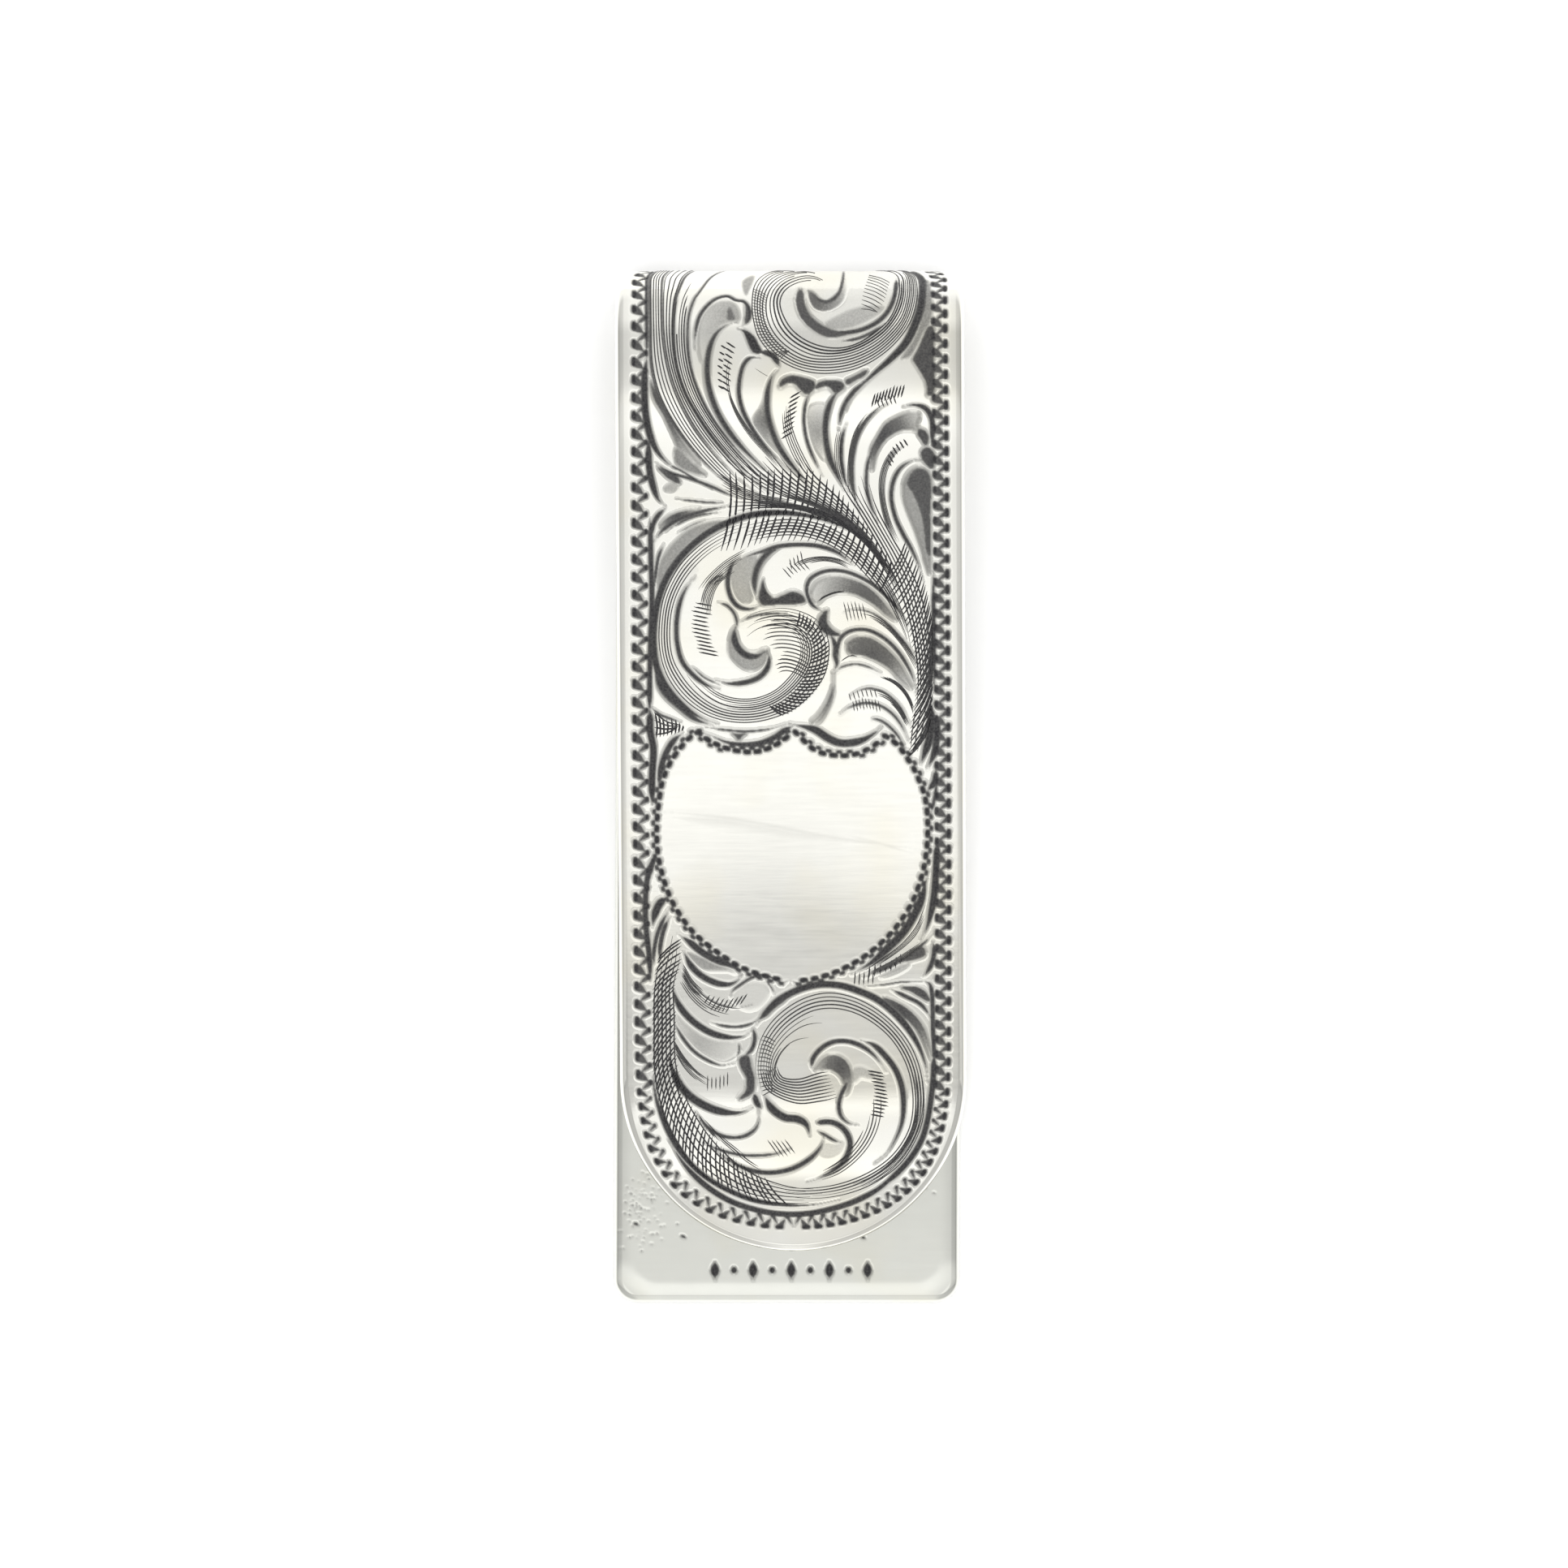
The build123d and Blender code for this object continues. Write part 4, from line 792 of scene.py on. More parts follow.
def lower_sheaf():
    """The cross-hatched sheaf down the left border and round the tip."""
    left = curve((-6.9, 36.3), (-7.4, 37.8), (-7.68, 39.5), (-7.72, 41.5), (-7.72, 43.5), (-7.55, 45),
                 (-7.1, 46.6), (-6.4, 48), (-5.5, 49.2), (-4.4, 50.1), (-3, 50.8), (-1.4, 51.15),
                 (0.2, 51.2), (1.8, 51))
    right = curve((-6.1, 36.6), (-6.1, 37.8), (-6.45, 39.2), (-6.4, 40.8), (-6.4, 42.5), (-6.3, 43.6),
                  (-5.8, 45.2), (-5.15, 46.4), (-4.3, 47.6), (-3.3, 48.6), (-2.2, 49.4), (-1, 49.9),
                  (0.2, 50.2), (1.6, 50.3))
    fan(left, right, 6, wide=0.075)
    fan(right,
        curve((-6, 38), (-6, 39.6), (-6, 41), (-6.1, 42.6), (-6, 44.4), (-5.4, 45.8), (-4.4, 47),
              (-3.2, 48), (-2, 48.9), (-0.6, 49.6), (0.8, 49.9)), 5, wide=0.06, start=(0.45, 0.2),
        end=(0.9, 0.3))
    across(left, right, 52, wide=0.09, skew=-0.075, start=0.07, end=0.9)
    cut((-7.7, 43.4), (-7.6, 45), (-7.2, 46.4), (-6.6, 47.7), (-5.8, 48.8), (-4.8, 49.7), (-3.6, 50.4),
        (-2.2, 50.95), (-0.6, 51.2), (1, 51.2), (2.6, 50.9), wide=0.26)
    cut((-6.9, 47.6), (-6, 49), (-4.9, 50.1), (-3.6, 50.95), (-2.2, 51.45), (-0.8, 51.7), (0.6, 51.7),
        (2, 51.45), (3.5, 50.95), (5, 50.1), (6.1, 49), wide=0.3, taper=(0.2, 0.2))
    cut((7.72, 42.8), (7.7, 44), (7.55, 45.4), (7.35, 46.6), (7, 47.7), (6.3, 48.8), (5.3, 49.8),
        (4.2, 50.5), wide=0.3, taper=(0.1, 0.2))


def border_path(side):
    """The border's outer rule: up one side from the fold's far end, and round to the middle of the tip."""
    upright = ((8.48, -5.5), (8.48, -3), (8.48, 0), (8.48, 3), (8.52, 10), (8.56, 20), (8.58, 30),
               (8.57, 38), (8.53, 43), (8.45, 45))
    around = ((8.45, 45), (8.25, 46.6), (7.85, 48.1), (7.1, 49.5), (6.1, 50.6), (4.9, 51.4), (3.4, 52),
              (1.7, 52.35), (0, 52.45))
    return [curve(*((side * x, v) for x, v in points)) for points in (upright, around)]


def wriggle(path, pitch, band, outer, inner, strokes):
    """A zigzag band walked along a path with a rocking graver.

    band is how far the inner turns stand inside the path. outer and inner are the (long, half, tone) of the
    nicks pressed in at the turns. strokes are the (wide, tone) of the strokes in and out, each of which is
    broad where it starts.
    """
    length = np.hypot(*np.diff(path, axis=0).T).sum()
    count = int(round(length / pitch))
    spots = resampled(path, 2 * count + 1)
    way = np.gradient(spots, axis=0)
    way /= np.hypot(*way.T)[:, None]
    inward = np.column_stack([way[:, 1], -way[:, 0]])
    inward *= np.sign((inward * (np.array(WELL_INSIDE) - spots)).sum(axis=1, keepdims=True) + 1e-9)
    turns = spots + inward * np.where(np.arange(len(spots)) % 2, band, 0)[:, None]
    for i, (a, b) in enumerate(zip(turns, turns[1:])):
        wide, tone = strokes[i % 2]
        plate.groove(np.linspace(a, b, 7), wide / 2, STROKE_DEPTH, tone, taper=(0.05, 0.95), gain=3)
    for i, place in enumerate(turns[:-1]):
        long, half, tone = inner if i % 2 else outer
        long *= random.uniform(0.88, 1.1)
        steps = np.linspace(-0.5, 0.5, 7)[:, None]
        plate.groove(place + way[i] * long * steps, half, NICK_DEPTH, tone, taper=(0.2, 0.2), gain=3)


def border():
    """The wriggle-cut border: dark wedges along both edges of a grey zigzag."""
    for side, pitch, tip_pitch in ((-1, 0.965, 0.82), (1, 0.835, 0.66)):
        upright, around = border_path(side)
        strokes = ((0.6, 0.8), (0.34, 0.75)) if side < 0 else ((0.34, 0.8), (0.6, 0.8))
        wriggle(upright, pitch, 0.66, (0.46, 0.15, 1), (0.28 + 0.08 * side, 0.13, 1), strokes)
        wriggle(around, tip_pitch, 0.58, (0.34, 0.15, 1), (0.18, 0.08, 0.95), ((0.34, 0.85), (0.2, 0.8)))


def shield_outline():
    """The blank shield's edge: two scallops over a broad oval."""
    left_scallop = curve((-5.05, 25.3), (-4.7, 25.6), (-4.2, 25.88), (-3.65, 26.12), (-3, 26.28),
                         (-2.35, 26.35), (-1.75, 26.3), (-1.15, 26.1), (-0.6, 25.8), (-0.15, 25.45),
                         (0.15, 25.25))
    right_scallop = curve((0.25, 25.3), (0.6, 25.65), (1, 26.05), (1.5, 26.35), (2.1, 26.5), (2.7, 26.55),
                          (3.35, 26.5), (3.95, 26.3), (4.5, 26), (4.85, 25.72), (5.05, 25.5))
    right_side = curve((5.15, 25.5), (5.55, 25.75), (5.95, 26.15), (6.3, 26.65), (6.65, 27.2),
                       (6.95, 27.85), (7.2, 28.5), (7.35, 29.2), (7.42, 30), (7.42, 30.9), (7.35, 31.8),
                       (7.2, 32.7), (6.95, 33.6), (6.6, 34.5), (6.1, 35.35), (5.5, 36.15), (4.8, 36.85),
                       (4, 37.5), (3.1, 38.05), (2.1, 38.5), (1, 38.8), (0, 38.9))
    left_side = curve((-5.1, 25.25), (-5.6, 25.6), (-6.1, 26.15), (-6.5, 26.7), (-6.8, 27.25),
                      (-7.05, 27.9), (-7.2, 28.6), (-7.3, 29.3), (-7.38, 30.1), (-7.4, 31), (-7.35, 31.9),
                      (-7.2, 32.7), (-6.95, 33.6), (-6.6, 34.5), (-6.1, 35.35), (-5.5, 36.15), (-4.8, 36.8),
                      (-4, 37.4), (-3.1, 38), (-2.2, 38.4), (-1.2, 38.7), (-0.3, 38.9))
    return left_scallop, right_scallop, right_side, left_side


def shield():
    """Blank metal, edged with a fine wriggle cut, with a few long faint marks from polishing across it."""
    long_mark = ((-7.1, 29.6), (-4, 29.9), (-1, 30.4), (2, 31), (5, 31.4), (7.1, 31.7))
    broad_mark = ((-6.8, 29.9), (-3.5, 30.2), (0, 30.8), (3, 31.3))
    short_mark = ((3, 30.9), (4.6, 31.3), (6.6, 31.9))
    for dark, half, mark in ((0.06, 0.16, long_mark), (0.045, 0.4, broad_mark), (0.05, 0.1, short_mark)):
        plate.groove(curve(*mark), half, 0, dark, gain=1)
    for path in shield_outline():
        wriggle(path, 0.6, -0.2, (0.3, 0.17, 1), (0.2, 0.12, 0.9), ((0.2, 0.8), (0.14, 0.7)))


def engraving():
    """Cuts the whole design into the plate."""
    for part in (border, left_sheaf, top_scroll, hidden_lobes, first_lobes, right_lobes, left_sprigs,
                 crossing_band, middle_scroll, upper_bud_lobes, shield_edges, shield, lower_sweep,
                 bottom_scroll, lower_sheaf, tip_lobes):
        part()


def worn_edge(metal, corner):
    """Rolls the face down towards its edges, as polishing does. corner is the radius of its free corners."""
    past = np.maximum(metal.t - (metal.t[-1] - corner), 0)[:, None]
    beside = np.maximum(np.abs(metal.x) - (HALF_WIDTH - corner), 0)
    away = corner - np.hypot(beside, past)
    start = smooth((metal.t - metal.t[0]) / WEAR_RUN)[:, None]
    metal.depth += EDGE_WEAR * start * np.clip(1 - away / EDGE_BAND, 0, 1) ** 2


def back_marks(metal):
    """On the back leaf: a plain row of punched lozenges and dots at its end, and small pits from wear."""
    first, pitch = -3.95, 1.05
    for place in range(9):
        centre = np.array([first + pitch * place, 54.85])
        high, half = (0.5, 0.26) if place % 2 == 0 else (0.17, 0.17)
        metal.groove(centre + np.linspace(-high, high, 9)[:, None] * (0, 1), half, 0.14, 0.95,
                     taper=(0.5, 0.5), gain=4)
    pits = 110
    for _ in range(pits):
        corner = np.array([random.normal(-8, 0.7), random.normal(51.6, 1.0)])
        size = random.uniform(0.02, 0.06)
        lie = random.uniform(0, np.pi)
        metal.groove(corner + np.linspace(-size, size, 4)[:, None] * (np.cos(lie), np.sin(lie)), size, 0.02,
                     random.uniform(0.2, 0.7))
    dents = ((7.6, 50.3, 0.09), (4.2, 53.05, 0.12), (-5.7, 53, 0.14), (-8.3, 52.3, 0.14), (8.1, 50.6, 0.06))
    for x, v, size in dents:
        metal.groove(np.array([x, v]) + np.linspace(-size, size, 4)[:, None] * (1, 0.5), size * 0.6, 0.05,
                     0.85)


# --------------------------------------------------------------------------------------------------
# From the flat sheet to bent meshes
# --------------------------------------------------------------------------------------------------

GRID = 0.065                # mm between the points of an engraved face
COARSE = 0.8                # mm between them where a face is hidden
ROUND_STEPS = 4             # steps round each polished edge
SLIVER_STEP = 0.22          # mm between the sections of a fine line
LINE_BITE = 1.8             # how much wider a fine line opens than it is drawn
SLIVER_HIGH = 0.028         # mm above the face that a fine line's ridge stands
SLIVER_LOW = -0.02          # mm that its foot is sunk in the face
SHORTEST = 0.1              # mm under which a piece of a fine line is left out
LINE_TONE = 0.7             # how dark a line THIN_LINE mm wide is
THIN_LINE = 0.04
TONE_GAIN = 5               # how much darker each mm of width makes it
CORNER_STEPS = 13           # places round each of the back leaf's corners
EASE = 3.2                  # mm to each side that the leaf's profile is eased over
EASE_FROM = 4.0             # the y below which it is
CREST_WEAR = 0.05           # share of its width that wear has taken from the bend at the crest
CREST_BAND = 2.2            # mm to each side of the crest that it has done so
EASE_STEPS = 9              # profiles that are averaged to do it


def leaf_profile(y, side):
    """Height of the front leaf's upper (side 1) or lower face (side -1): crown, straight run and flare."""
    shoulder = SHOULDER_RADIUS + side * THICKNESS / 2
    flare = FLARE_RADIUS - side * THICKNESS / 2
    shoulder_end = FOLD_Y - shoulder * np.sin(FALL)
    run = SHOULDER_Z + shoulder * np.cos(FALL) - (shoulder_end - y) * np.tan(FALL)
    crown = SHOULDER_Z + np.sqrt(np.maximum(shoulder**2 - (FOLD_Y - y) ** 2, 0))
    tip = FLARE_Z - np.sqrt(np.maximum(flare**2 - (y - GRIP_Y) ** 2, 0))
    return np.where(y > shoulder_end, crown, np.where(y < GRIP_Y + flare * np.sin(FALL), tip, run))


def leaf_height(y, side):
    """The profile, with its start into the flare eased over a few millimetres."""
    spread = EASE * smooth((EASE_FROM - y) / EASE_FROM)
    shares = np.linspace(-1, 1, EASE_STEPS)
    return np.mean([leaf_profile(y + spread * share, side) for share in shares], axis=0)


def leaf_point(x, t, height):
    """A point of the front leaf, height mm up through the sheet from its lower face."""
    y = CREST_Y - t
    low, high = leaf_height(y, -1), leaf_height(y, 1)
    across_x = x + (FOLD_Y - y) * np.tan(FRONT_SLANT)
    return np.stack([across_x, y, low + (high - low) * height / THICKNESS], axis=-1)


def fold_point(x, t, height):
    """A point of the bend, height mm out through the sheet. The bend narrows where the crest is worn."""
    x = x * (1 - CREST_WEAR * smooth(1 - np.abs(t - APEX) / CREST_BAND))
    turn = (FOLD_RADIUS - t) / FOLD_RADIUS
    radius = FOLD_RADIUS - THICKNESS + height
    y = FOLD_Y + radius * np.sin(turn)
    return np.stack([x + 0 * t, y, FOLD_RADIUS + radius * np.cos(turn)], axis=-1)


def back_point(x, t, height):
    """A point of the back leaf, height mm up through the sheet."""
    y = CREST_Y - t
    return np.stack([x + (FOLD_Y - y) * np.tan(BACK_SLANT), y, height + 0 * t], axis=-1)


def spaced(start, end, step):
    """Even places from start to end, about a step apart."""
    return np.linspace(start, end, int(round(abs(end - start) / step)) + 1)


def leaf_grid():
    """The front leaf's flat outline, inside its rounded edge, as rows of points that fill its round end."""
    half = HALF_WIDTH - ROUNDING
    centre = SHEET_END - HALF_WIDTH
    a = np.linspace(-1, 1, 2 * int(half / GRID) + 1)
    straight = spaced(FOLD_RADIUS, centre, GRID)
    b = np.linspace(0, 1, int(half / GRID) + 1)[1:, None]
    x = np.vstack([np.tile(a * half, (len(straight), 1)), half * a * np.sqrt(1 - b**2 / 2)])
    t = np.vstack([np.tile(straight[:, None], (1, len(a))), centre + half * b * np.sqrt(1 - a**2 / 2)])
    round_end = np.stack([x, t - centre], -1) / half
    sideways = np.stack([np.sign(x), 0 * x], -1)
    return x, t, np.where((t > centre)[..., None], round_end, sideways)


def fold_grid():
    """The bend's outline, from the back leaf round to the front leaf."""
    half = HALF_WIDTH - ROUNDING
    a = np.linspace(-1, 1, 2 * int(half / GRID) + 1)
    t, x = np.meshgrid(spaced(SHEET_START, FOLD_RADIUS, GRID), a * half, indexing="ij")
    return x, t, np.stack([np.sign(x), 0 * x], -1)


def back_grid():
    """The back leaf's outline, with fine rows only where the front leaf leaves it in sight."""
    half = HALF_WIDTH - ROUNDING
    corner = BACK_CORNER - ROUNDING
    end = BACK_END - ROUNDING
    a = np.linspace(-1, 1, 2 * int(half / GRID) + 1)
    turn = np.linspace(0, np.pi / 2, CORNER_STEPS)[1:]
    hidden = spaced(FOLD_RADIUS, SHEET_END - HALF_WIDTH, COARSE)[:-1]
    in_sight = spaced(SHEET_END - HALF_WIDTH, end - corner, GRID)
    rows = np.concatenate([hidden, in_sight, end - corner + corner * np.sin(turn)])
    wide = np.concatenate([np.full(len(rows) - len(turn), half), half - corner + corner * np.cos(turn)])
    lean = np.concatenate([np.zeros(len(rows) - len(turn)), turn])
    x = a * wide[:, None]
    t = np.tile(rows[:, None], (1, len(a)))
    edge = np.abs(a) > 1 - 1e-9
    sideways = np.where(edge, np.sign(a) * np.cos(lean[:, None]), 0)
    endways = np.where(edge, np.sin(lean[:, None]), 1)
    return x, t, np.stack([sideways, endways], -1)


def bent_sheet(name, grid, place, etched, open_end):
    """A closed mesh of the sheet's full thickness, with its upper face cut as the plate says.

    The face is a grid of points. From its free sides the polished edge rolls round to the lower face. The
    first row, and with open_end the last row too, is a flat end that meets the next piece.
    """
    x, t, outward = grid
    rows, cols = x.shape
    depth, tone = etched.sampled(x, t)
    points = [place(x, t, THICKNESS - depth).reshape(-1, 3)]
    index = np.arange(rows * cols).reshape(rows, cols)
    last = [] if open_end else list(index[-1, 1:-1])
    rim = np.array(list(index[:, 0]) + last + list(index[::-1, -1]))
    rim_x, rim_t, rim_out = x.ravel()[rim], t.ravel()[rim], outward.reshape(-1, 2)[rim]
    turns = np.linspace(0, np.pi / 2, ROUND_STEPS + 1)
    worn = depth.ravel()[rim]
    steps = [(np.sin(a), THICKNESS - ROUNDING * (1 - np.cos(a)) - worn * np.cos(a)) for a in turns[1:]]
    steps += [(np.sin(a), ROUNDING * (1 - np.cos(a)) + 0 * worn) for a in turns[::-1]]
    loops = [rim]
    for out, height in steps:
        ring = place(rim_x + rim_out[:, 0] * ROUNDING * out, rim_t + rim_out[:, 1] * ROUNDING * out, height)
        loops.append(np.arange(len(rim)) + sum(map(len, points)))
        points.append(ring)
    quads = np.stack([index[:-1, :-1], index[1:, :-1], index[1:, 1:], index[:-1, 1:]], -1)
    faces = [tuple(face) for face in quads.reshape(-1, 4).tolist()]
    gap = rows - 1 if open_end else -1
    for upper, lower in zip(loops, loops[1:]):
        faces += [(int(upper[k]), int(lower[k]), int(lower[k + 1]), int(upper[k + 1]))
                  for k in range(len(rim) - 1) if k != gap]
    under, m = loops[-1], len(rim)
    for k in range(rows - 1 if open_end else m // 2):
        corners = (int(under[k]), int(under[m - 1 - k]), int(under[m - 2 - k]), int(under[k + 1]))
        faces.append(tuple(dict.fromkeys(corners)))
    caps = [[int(i) for i in index[0]] + [int(loop[-1]) for loop in loops[1:]]
            + [int(loop[0]) for loop in loops[:0:-1]]]
    if open_end:
        caps.append([int(i) for i in index[-1, ::-1]] + [int(loop[rows - 1]) for loop in loops[1:]]
                    + [int(loop[rows]) for loop in loops[:0:-1]])
    shades = np.zeros(sum(map(len, points)))
    shades[:rows * cols] = tone.ravel()
    return made(name, np.vstack(points), faces + caps, shades, caps)


def made(name, points, faces, shades, caps=()):
    """A smooth mesh object with a patina shade at each point. Its flat ends, the caps, keep sharp edges."""
    mesh = bpy.data.meshes.new(name)
    mesh.from_pydata((points * MM).tolist(), [], faces)
    mesh.polygons.foreach_set("use_smooth", np.ones(len(mesh.polygons), bool))
    mesh.attributes.new("patina", "FLOAT", "POINT").data.foreach_set("value", shades.astype(np.float32))
    if caps:
        ends = np.zeros(len(mesh.vertices), int)
        for number, cap in enumerate(caps, 1):
            ends[cap] = number
        pairs = np.zeros(2 * len(mesh.edges), int)
        mesh.edges.foreach_get("vertices", pairs)
        pairs = ends[pairs.reshape(-1, 2)]
        sharp = (pairs[:, 0] > 0) & (pairs[:, 0] == pairs[:, 1])
        mesh.attributes.new("sharp_edge", "BOOLEAN", "EDGE").data.foreach_set("value", sharp)
    thing = bpy.data.objects.new(name, mesh)
    bpy.context.scene.collection.objects.link(thing)
    return thing


def parted(path, low, high):
    """The stretches of a line between two places along the sheet, cut exactly at them."""
    pieces, piece = [], []
    for a, b in zip(path, path[1:]):
        stops = sorted({0.0, 1.0} | {(limit - a[1]) / (b[1] - a[1]) for limit in (low, high)
                                     if (a[1] - limit) * (b[1] - limit) < 0})
        for s, e in zip(stops, stops[1:]):
            middle = a[1] + (b[1] - a[1]) * (s + e) / 2
            if low < middle < high:
                piece = piece or [a + (b - a) * s]
                piece.append(a + (b - a) * e)
            elif piece:
                pieces.append(np.array(piece))
                piece = []
    if piece:
        pieces.append(np.array(piece))
    return pieces


def slivers(name, lines, place, etched, low, high):
    """Closed slender ridges along the fine lines between two places on the sheet."""
    points, faces, shades = [], [], []
    base = 0
    for path, wide in lines:
        for part in parted(path, low, high):
            length = np.hypot(*np.diff(part, axis=0).T).sum()
            if length < SHORTEST:
                continue
            count = max(5, int(length / SLIVER_STEP) + 1)
            middle = resampled(part, count)
            way = np.gradient(middle, axis=0)
            way /= np.hypot(*way.T)[:, None] + 1e-12
            aside = np.column_stack([-way[:, 1], way[:, 0]])
            s = np.linspace(0, 1, count)
            cut_low = abs(middle[0, 1] - low) < 1e-6 or abs(middle[0, 1] - high) < 1e-6
            cut_high = abs(middle[-1, 1] - low) < 1e-6 or abs(middle[-1, 1] - high) < 1e-6
            swell_in = 1 if cut_low else smooth(s / 0.25 + 0.3)
            swell_out = 1 if cut_high else smooth((1 - s) / 0.3 + 0.3)
            swell = swell_in * swell_out
            half = (LINE_BITE * wide / 2 * swell * np.ones(count))[:, None]
            depth, _ = etched.sampled(middle[:, 0], middle[:, 1])
            sides = [middle - aside * half, middle + aside * half, middle]
            ring = np.stack([place(side[:, 0], side[:, 1], THICKNESS - depth + rise)
                             for side, rise in zip(sides, (SLIVER_LOW, SLIVER_LOW, SLIVER_HIGH))], axis=1)
            points.append(ring)
            shades.append(np.full(3 * count, LINE_TONE + TONE_GAIN * (wide - THIN_LINE)))
            for k in range(count - 1):
                a, b = base + 3 * k, base + 3 * k + 3
                faces += [(a, b, b + 2, a + 2), (a + 2, b + 2, b + 1, a + 1), (a + 1, b + 1, b, a)]
            a, b = base, base + 3 * (count - 1)
            faces += [(a, a + 2, a + 1), (b, b + 1, b + 2)]
            base += 3 * count
    shades = np.clip(np.concatenate(shades), 0.3, 1.0)
    return made(name, np.concatenate(points).reshape(-1, 3), faces, shades)


# --------------------------------------------------------------------------------------------------
# Materials
# --------------------------------------------------------------------------------------------------


OXIDE = (0.036, 0.035, 0.038)       # the darkened cuts
STAIN = (0.96, 0.94, 0.88)          # what a faint brown stain does to the metal's colour
ENGRAVED_METAL = (0.98, 0.972, 0.91)
# the back leaf's silver: the same metal as the engraved leaf, with its colour painted darker as painted
# shade for the dimmer look it has
BACK_METAL_PAINTED_DARKER = (0.84, 0.845, 0.785)


class Nodes:
    """A short way to add and join shader nodes."""

    def __init__(self, tree):
        self.tree = tree
        tree.nodes.clear()

    def add(self, kind, inputs=None, **settings):
        node = self.tree.nodes.new("ShaderNode" + kind)
        for key, value in settings.items():
            setattr(node, key, value)
        for key, value in (inputs or {}).items():
            if isinstance(value, bpy.types.NodeSocket):
                self.tree.links.new(value, node.inputs[key])
            else:
                node.inputs[key].default_value = value
        return node

    def ramp(self, value, *stops):
        """Values or colours along a scale: each stop is (place, value or colour)."""
        node = self.add("ValToRGB", {"Fac": value})
        elements = node.color_ramp.elements
        for _ in stops[2:]:
            elements.new(0.5)
        for element, (place, shade) in zip(elements, stops):
            element.position = place
            element.color = (*shade, 1) if isinstance(shade, tuple) else (shade, shade, shade, 1)
        return node.outputs["Color"]

    def noise(self, scale, detail=3.0, stretch=(1, 1, 1)):
        """Noise fixed to the object, with scale cells to the metre."""
        where = self.add("TexCoord").outputs["Object"]
        where = self.add("Mapping", {"Vector": where, "Scale": stretch}).outputs["Vector"]
        return self.add("TexNoise", {"Vector": where, "Scale": scale, "Detail": detail}).outputs["Fac"]

    def maths(self, operation, a, b):
        return self.add("Math", {0: a, 1: b}, operation=operation).outputs[0]

    def mixed(self, share, a, b):
        return self.add("MixRGB", {"Fac": share, "Color1": a, "Color2": b}).outputs["Color"]


def material(name):
    """An empty material and the maker of its nodes."""
    made_material = bpy.data.materials.new(name)
    made_material.use_nodes = True
    return made_material, Nodes(made_material.node_tree)


def silver(name, bright, scratches):
    """Sterling silver, polished by hand, with dark oxide left wherever the patina attribute says."""
    result, n = material(name)
    patina = n.add("Attribute", attribute_name="patina").outputs["Fac"]
    clouds = n.noise(900, 4)
    grain = n.noise(9000, 2)
    hairlines = n.noise(2600, 3, (0.15, 1.6, 1))
    speckle = n.maths("SUBTRACT", grain, 0.5)
    half_patina = n.maths("MULTIPLY", patina, 0.5)
    worn = n.maths("ADD", patina, n.maths("MULTIPLY", speckle, half_patina))
    metal = n.mixed(clouds, (*bright, 1), tuple(0.95 * c for c in bright) + (1,))
    stains = n.ramp(n.noise(170, 2), (0.5, 0.0), (0.72, 1.0))
    metal = n.mixed(stains, metal, tuple(shade * c for shade, c in zip(STAIN, bright)) + (1,))
    darkness = n.ramp(worn, (0.0, 0.0), (0.3, 0.42), (0.6, 0.84), (1.0, 1.0))
    colour = n.mixed(darkness, metal, (*OXIDE, 1))
    rough = n.ramp(worn, (0.0, 0.04), (0.5, 0.3), (1.0, 0.5))
    rough = n.maths("ADD", rough, n.maths("MULTIPLY", hairlines, scratches))
    metallic = n.ramp(worn, (0.0, 0.97), (1.0, 0.6))
    height = n.maths("ADD", n.maths("MULTIPLY", hairlines, 0.2), n.maths("MULTIPLY", grain, patina))
    waves = n.add("Bump", {"Height": n.noise(100, 0, (0.7, 1, 1)), "Strength": 1.0, "Distance": 0.00003})
    bump = n.add("Bump", {"Height": height, "Strength": 0.1, "Distance": 0.00001,
                          "Normal": waves.outputs["Normal"]})
    shader = n.add("BsdfPrincipled", {"Base Color": colour, "Metallic": metallic, "Roughness": rough,
                                      "Normal": bump.outputs["Normal"]})
    n.add("OutputMaterial", {"Surface": shader.outputs[0]})
    return result


def paper(name):
    """Matt white paper, a little uneven."""
    result, n = material(name)
    colour = n.ramp(n.noise(30, 2), (0.3, (0.93, 0.93, 0.93)), (0.7, (0.95, 0.95, 0.95)))
    shader = n.add("BsdfPrincipled", {"Base Color": colour, "Roughness": 0.7, "Specular IOR Level": 0.2})
    n.add("OutputMaterial", {"Surface": shader.outputs[0]})
    return result


# --------------------------------------------------------------------------------------------------
# The pieces
# --------------------------------------------------------------------------------------------------

BACK_WEAR_CORNER = 2.5      # radius that the wear follows at the back leaf's free corners

engraving()
plate.settle()
worn_edge(plate, HALF_WIDTH)
back_plate = Plate(FOLD_RADIUS, BACK_END)
back_marks(back_plate)
back_plate.settle()
worn_edge(back_plate, BACK_WEAR_CORNER)

engraved = silver("engraved_silver", ENGRAVED_METAL, 0.05)
# The back leaf's silver has its colour painted darker, as painted shade; it is not a different metal.
polished = silver("polished_silver", BACK_METAL_PAINTED_DARKER, 0.06)


def dress(thing, finish):
    """Gives a piece its material."""
    thing.data.materials.append(finish)


def bends_with_fold(thing):
    """Bakes the piece's placing into its mesh, and leaves it attached to no body."""
    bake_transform(thing)


leaf = bent_sheet("engraved_front_leaf", leaf_grid(), leaf_point, plate, open_end=False)
dress(leaf, engraved)
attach(leaf, "spring_leaf")
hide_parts("front_leaf")

fold = bent_sheet("engraved_fold", fold_grid(), fold_point, plate, open_end=True)
dress(fold, engraved)
bends_with_fold(fold)
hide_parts("fold_spring")

back = bent_sheet("polished_back_leaf", back_grid(), back_point, back_plate, open_end=False)
dress(back, polished)
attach(back, "base")
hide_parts("back_leaf")

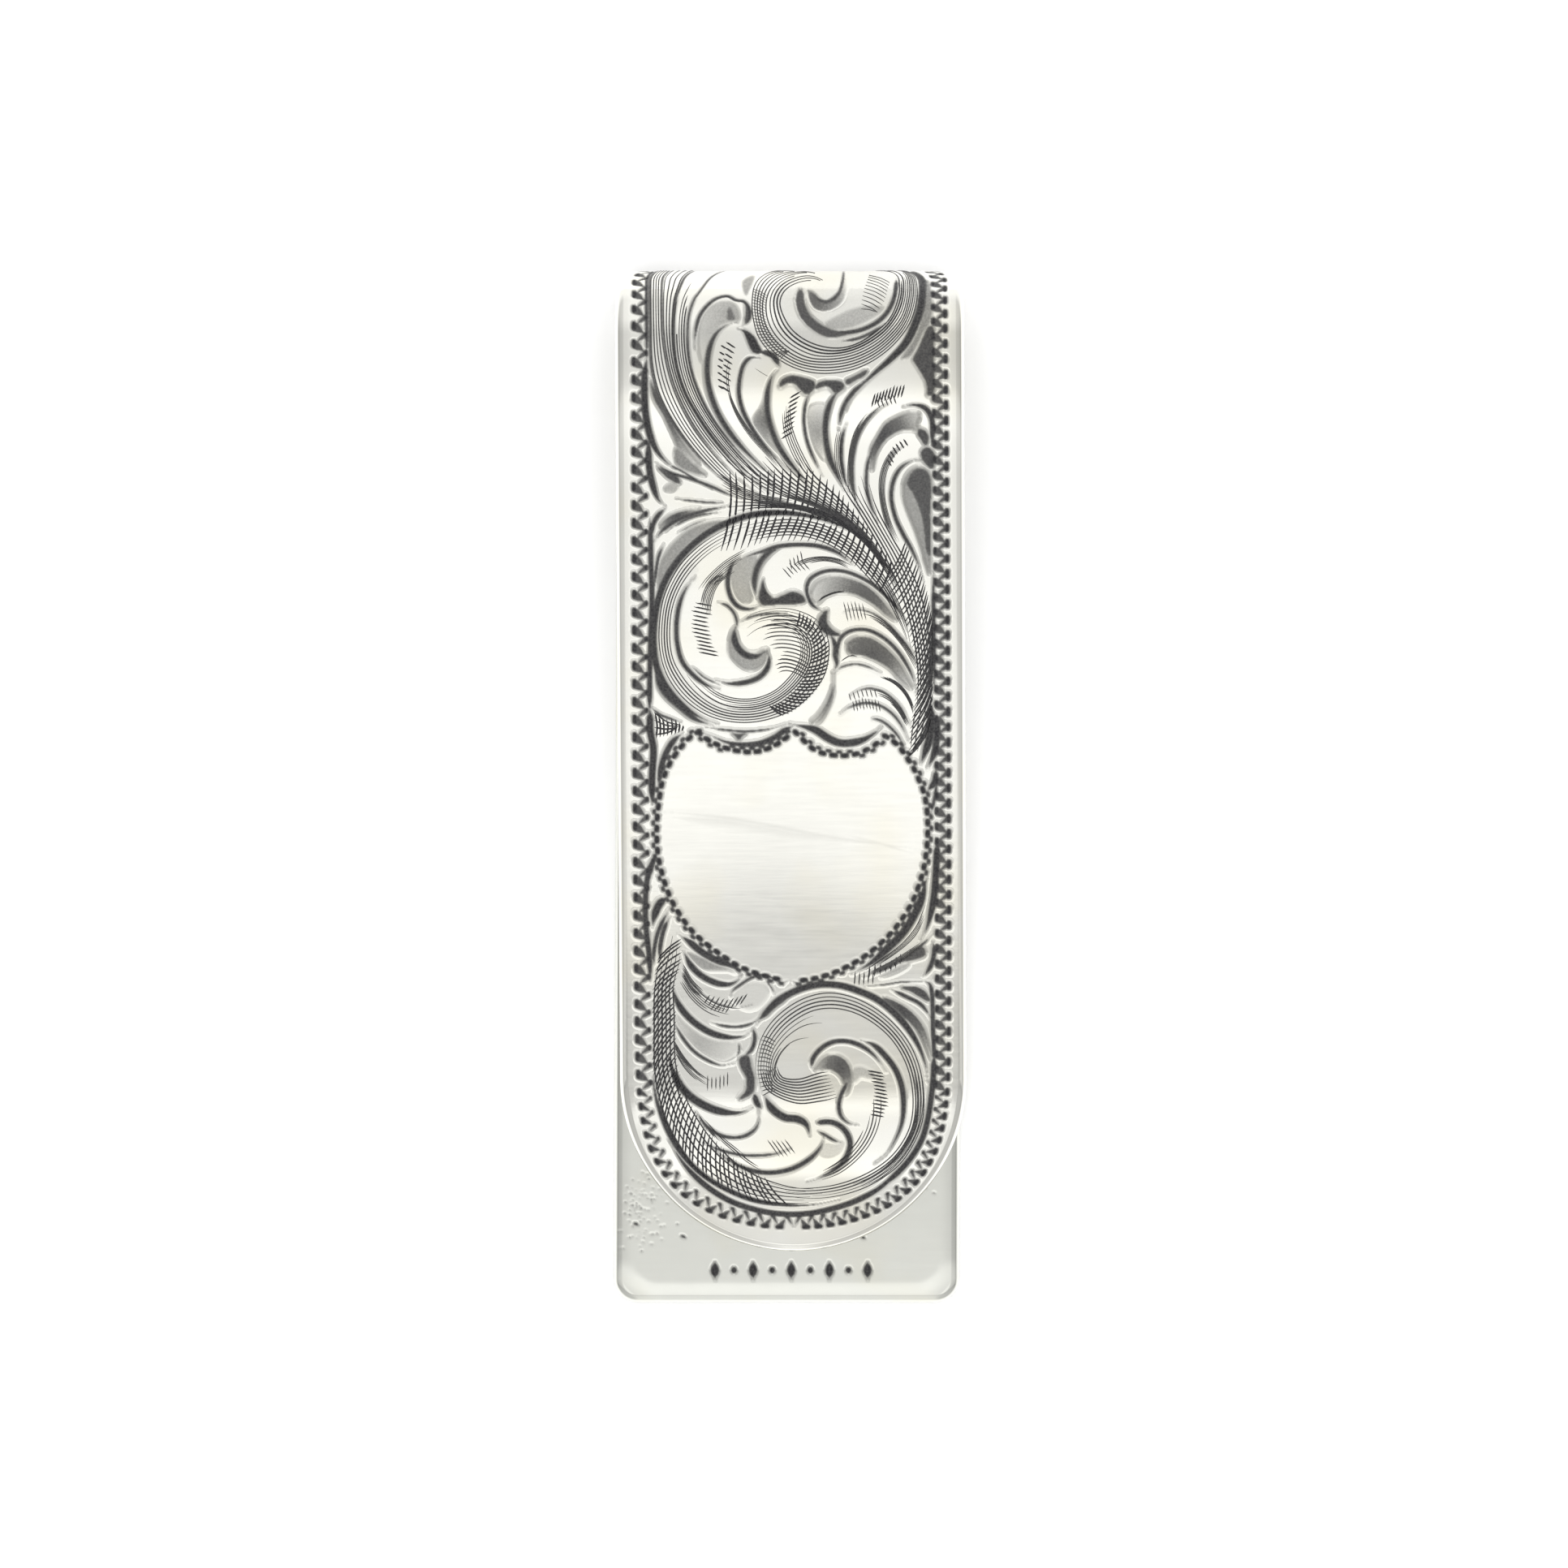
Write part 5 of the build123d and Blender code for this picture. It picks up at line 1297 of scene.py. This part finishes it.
leaf_lines = slivers("leaf_hatching", plate.lines, leaf_point, plate, FOLD_RADIUS, SHEET_END)
dress(leaf_lines, engraved)
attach(leaf_lines, "spring_leaf")

fold_lines = slivers("fold_hatching", plate.lines, fold_point, plate, SHEET_START, FOLD_RADIUS)
dress(fold_lines, engraved)
bends_with_fold(fold_lines)


# --------------------------------------------------------------------------------------------------
# Floor, light and camera
# --------------------------------------------------------------------------------------------------


def pale_floor():
    """A sheet of pale paper, small enough to make no grey horizon seen from the side."""
    half = 0.7
    mesh = bpy.data.meshes.new("floor")
    corners = [(-half, -half, 0), (half, -half, 0), (half, half, 0), (-half, half, 0)]
    mesh.from_pydata(corners, [], [(0, 1, 2, 3)])
    floor = bpy.data.objects.new("floor", mesh)
    bpy.context.scene.collection.objects.link(floor)
    mesh.materials.append(paper("pale_paper"))


def soft_tent():
    """A white tent round the clip: plain near the horizon, with soft bands from side to side overhead."""
    world = bpy.data.worlds.new("tent")
    bpy.context.scene.world = world
    world.use_nodes = True
    n = Nodes(world.node_tree)
    direction = n.add("TexCoord").outputs["Generated"]
    sides = n.add("SeparateXYZ", {"Vector": direction})
    aside = n.maths("ABSOLUTE", sides.outputs["X"], 0)
    bowed = n.maths("ADD", sides.outputs["Y"], n.ramp(aside, (0.004, 0.0), (0.012, 0.006), (1.0, 0.006)))
    place = n.add("MapRange", {"Value": bowed, "From Min": -0.5, "From Max": 0.5}).outputs["Result"]
    lengthwise = n.ramp(place, (0.0, 0.8), (0.18, 0.7), (0.229, 0.67), (0.237, 0.48), (0.2455, 0.4),
                        (0.2475, 0.88), (0.252, 0.95), (0.255, 1.0), (0.268, 1.0), (0.2775, 0.82),
                        (0.295, 0.86), (0.35, 0.9), (0.39, 1.0), (0.435, 0.97), (0.458, 0.72),
                        (0.5, 0.66), (0.62, 0.68), (0.8, 0.78), (1.0, 0.88))
    crosswise = n.ramp(aside, (0.0, 1.0), (0.04, 1.0), (0.18, 0.7), (0.35, 0.66), (0.7, 0.6), (0.88, 0.45),
                       (1.0, 0.6))
    bands = n.add("MixRGB", {"Fac": 1.0, "Color1": lengthwise, "Color2": crosswise}, blend_type="MULTIPLY")
    horizon = n.ramp(n.maths("ABSOLUTE", sides.outputs["Z"], 0), (0.15, 1.0), (0.4, 0.0))
    light = n.mixed(horizon, bands.outputs["Color"], (0.95, 0.95, 0.95, 1))
    background = n.add("Background", {"Color": light, "Strength": 1.12})
    n.add("OutputWorld", {"Surface": background.outputs[0]})


def overhead_lamp():
    """A wide soft lamp that lights the paper evenly. The silver mirrors the tent instead of it."""
    data = bpy.data.lights.new("overhead", "AREA")
    data.shape = "DISK"
    data.size = 1.6
    data.energy = 12
    thing = bpy.data.objects.new("overhead_lamp", data)
    bpy.context.scene.collection.objects.link(thing)
    thing.location = (0, 0, 1)
    thing.visible_glossy = False
    thing.visible_camera = False


def camera():
    """Straight overhead, with a long lens, and the fold at the top of the picture."""
    away = 0.6                  # metres from the camera to the middle of the clip's height
    middle = 0.003              # that height
    picture = 0.08598           # width of the picture at the clip
    data = bpy.data.cameras.new("overhead")
    data.sensor_width = 36
    data.lens = data.sensor_width * away / picture
    thing = bpy.data.objects.new("overhead", data)
    bpy.context.scene.collection.objects.link(thing)
    thing.location = (-0.0003, 0.0002, away + middle)
    bpy.context.scene.camera = thing


pale_floor()
soft_tent()
overhead_lamp()
camera()
bpy.context.scene.view_settings.view_transform = "Standard"
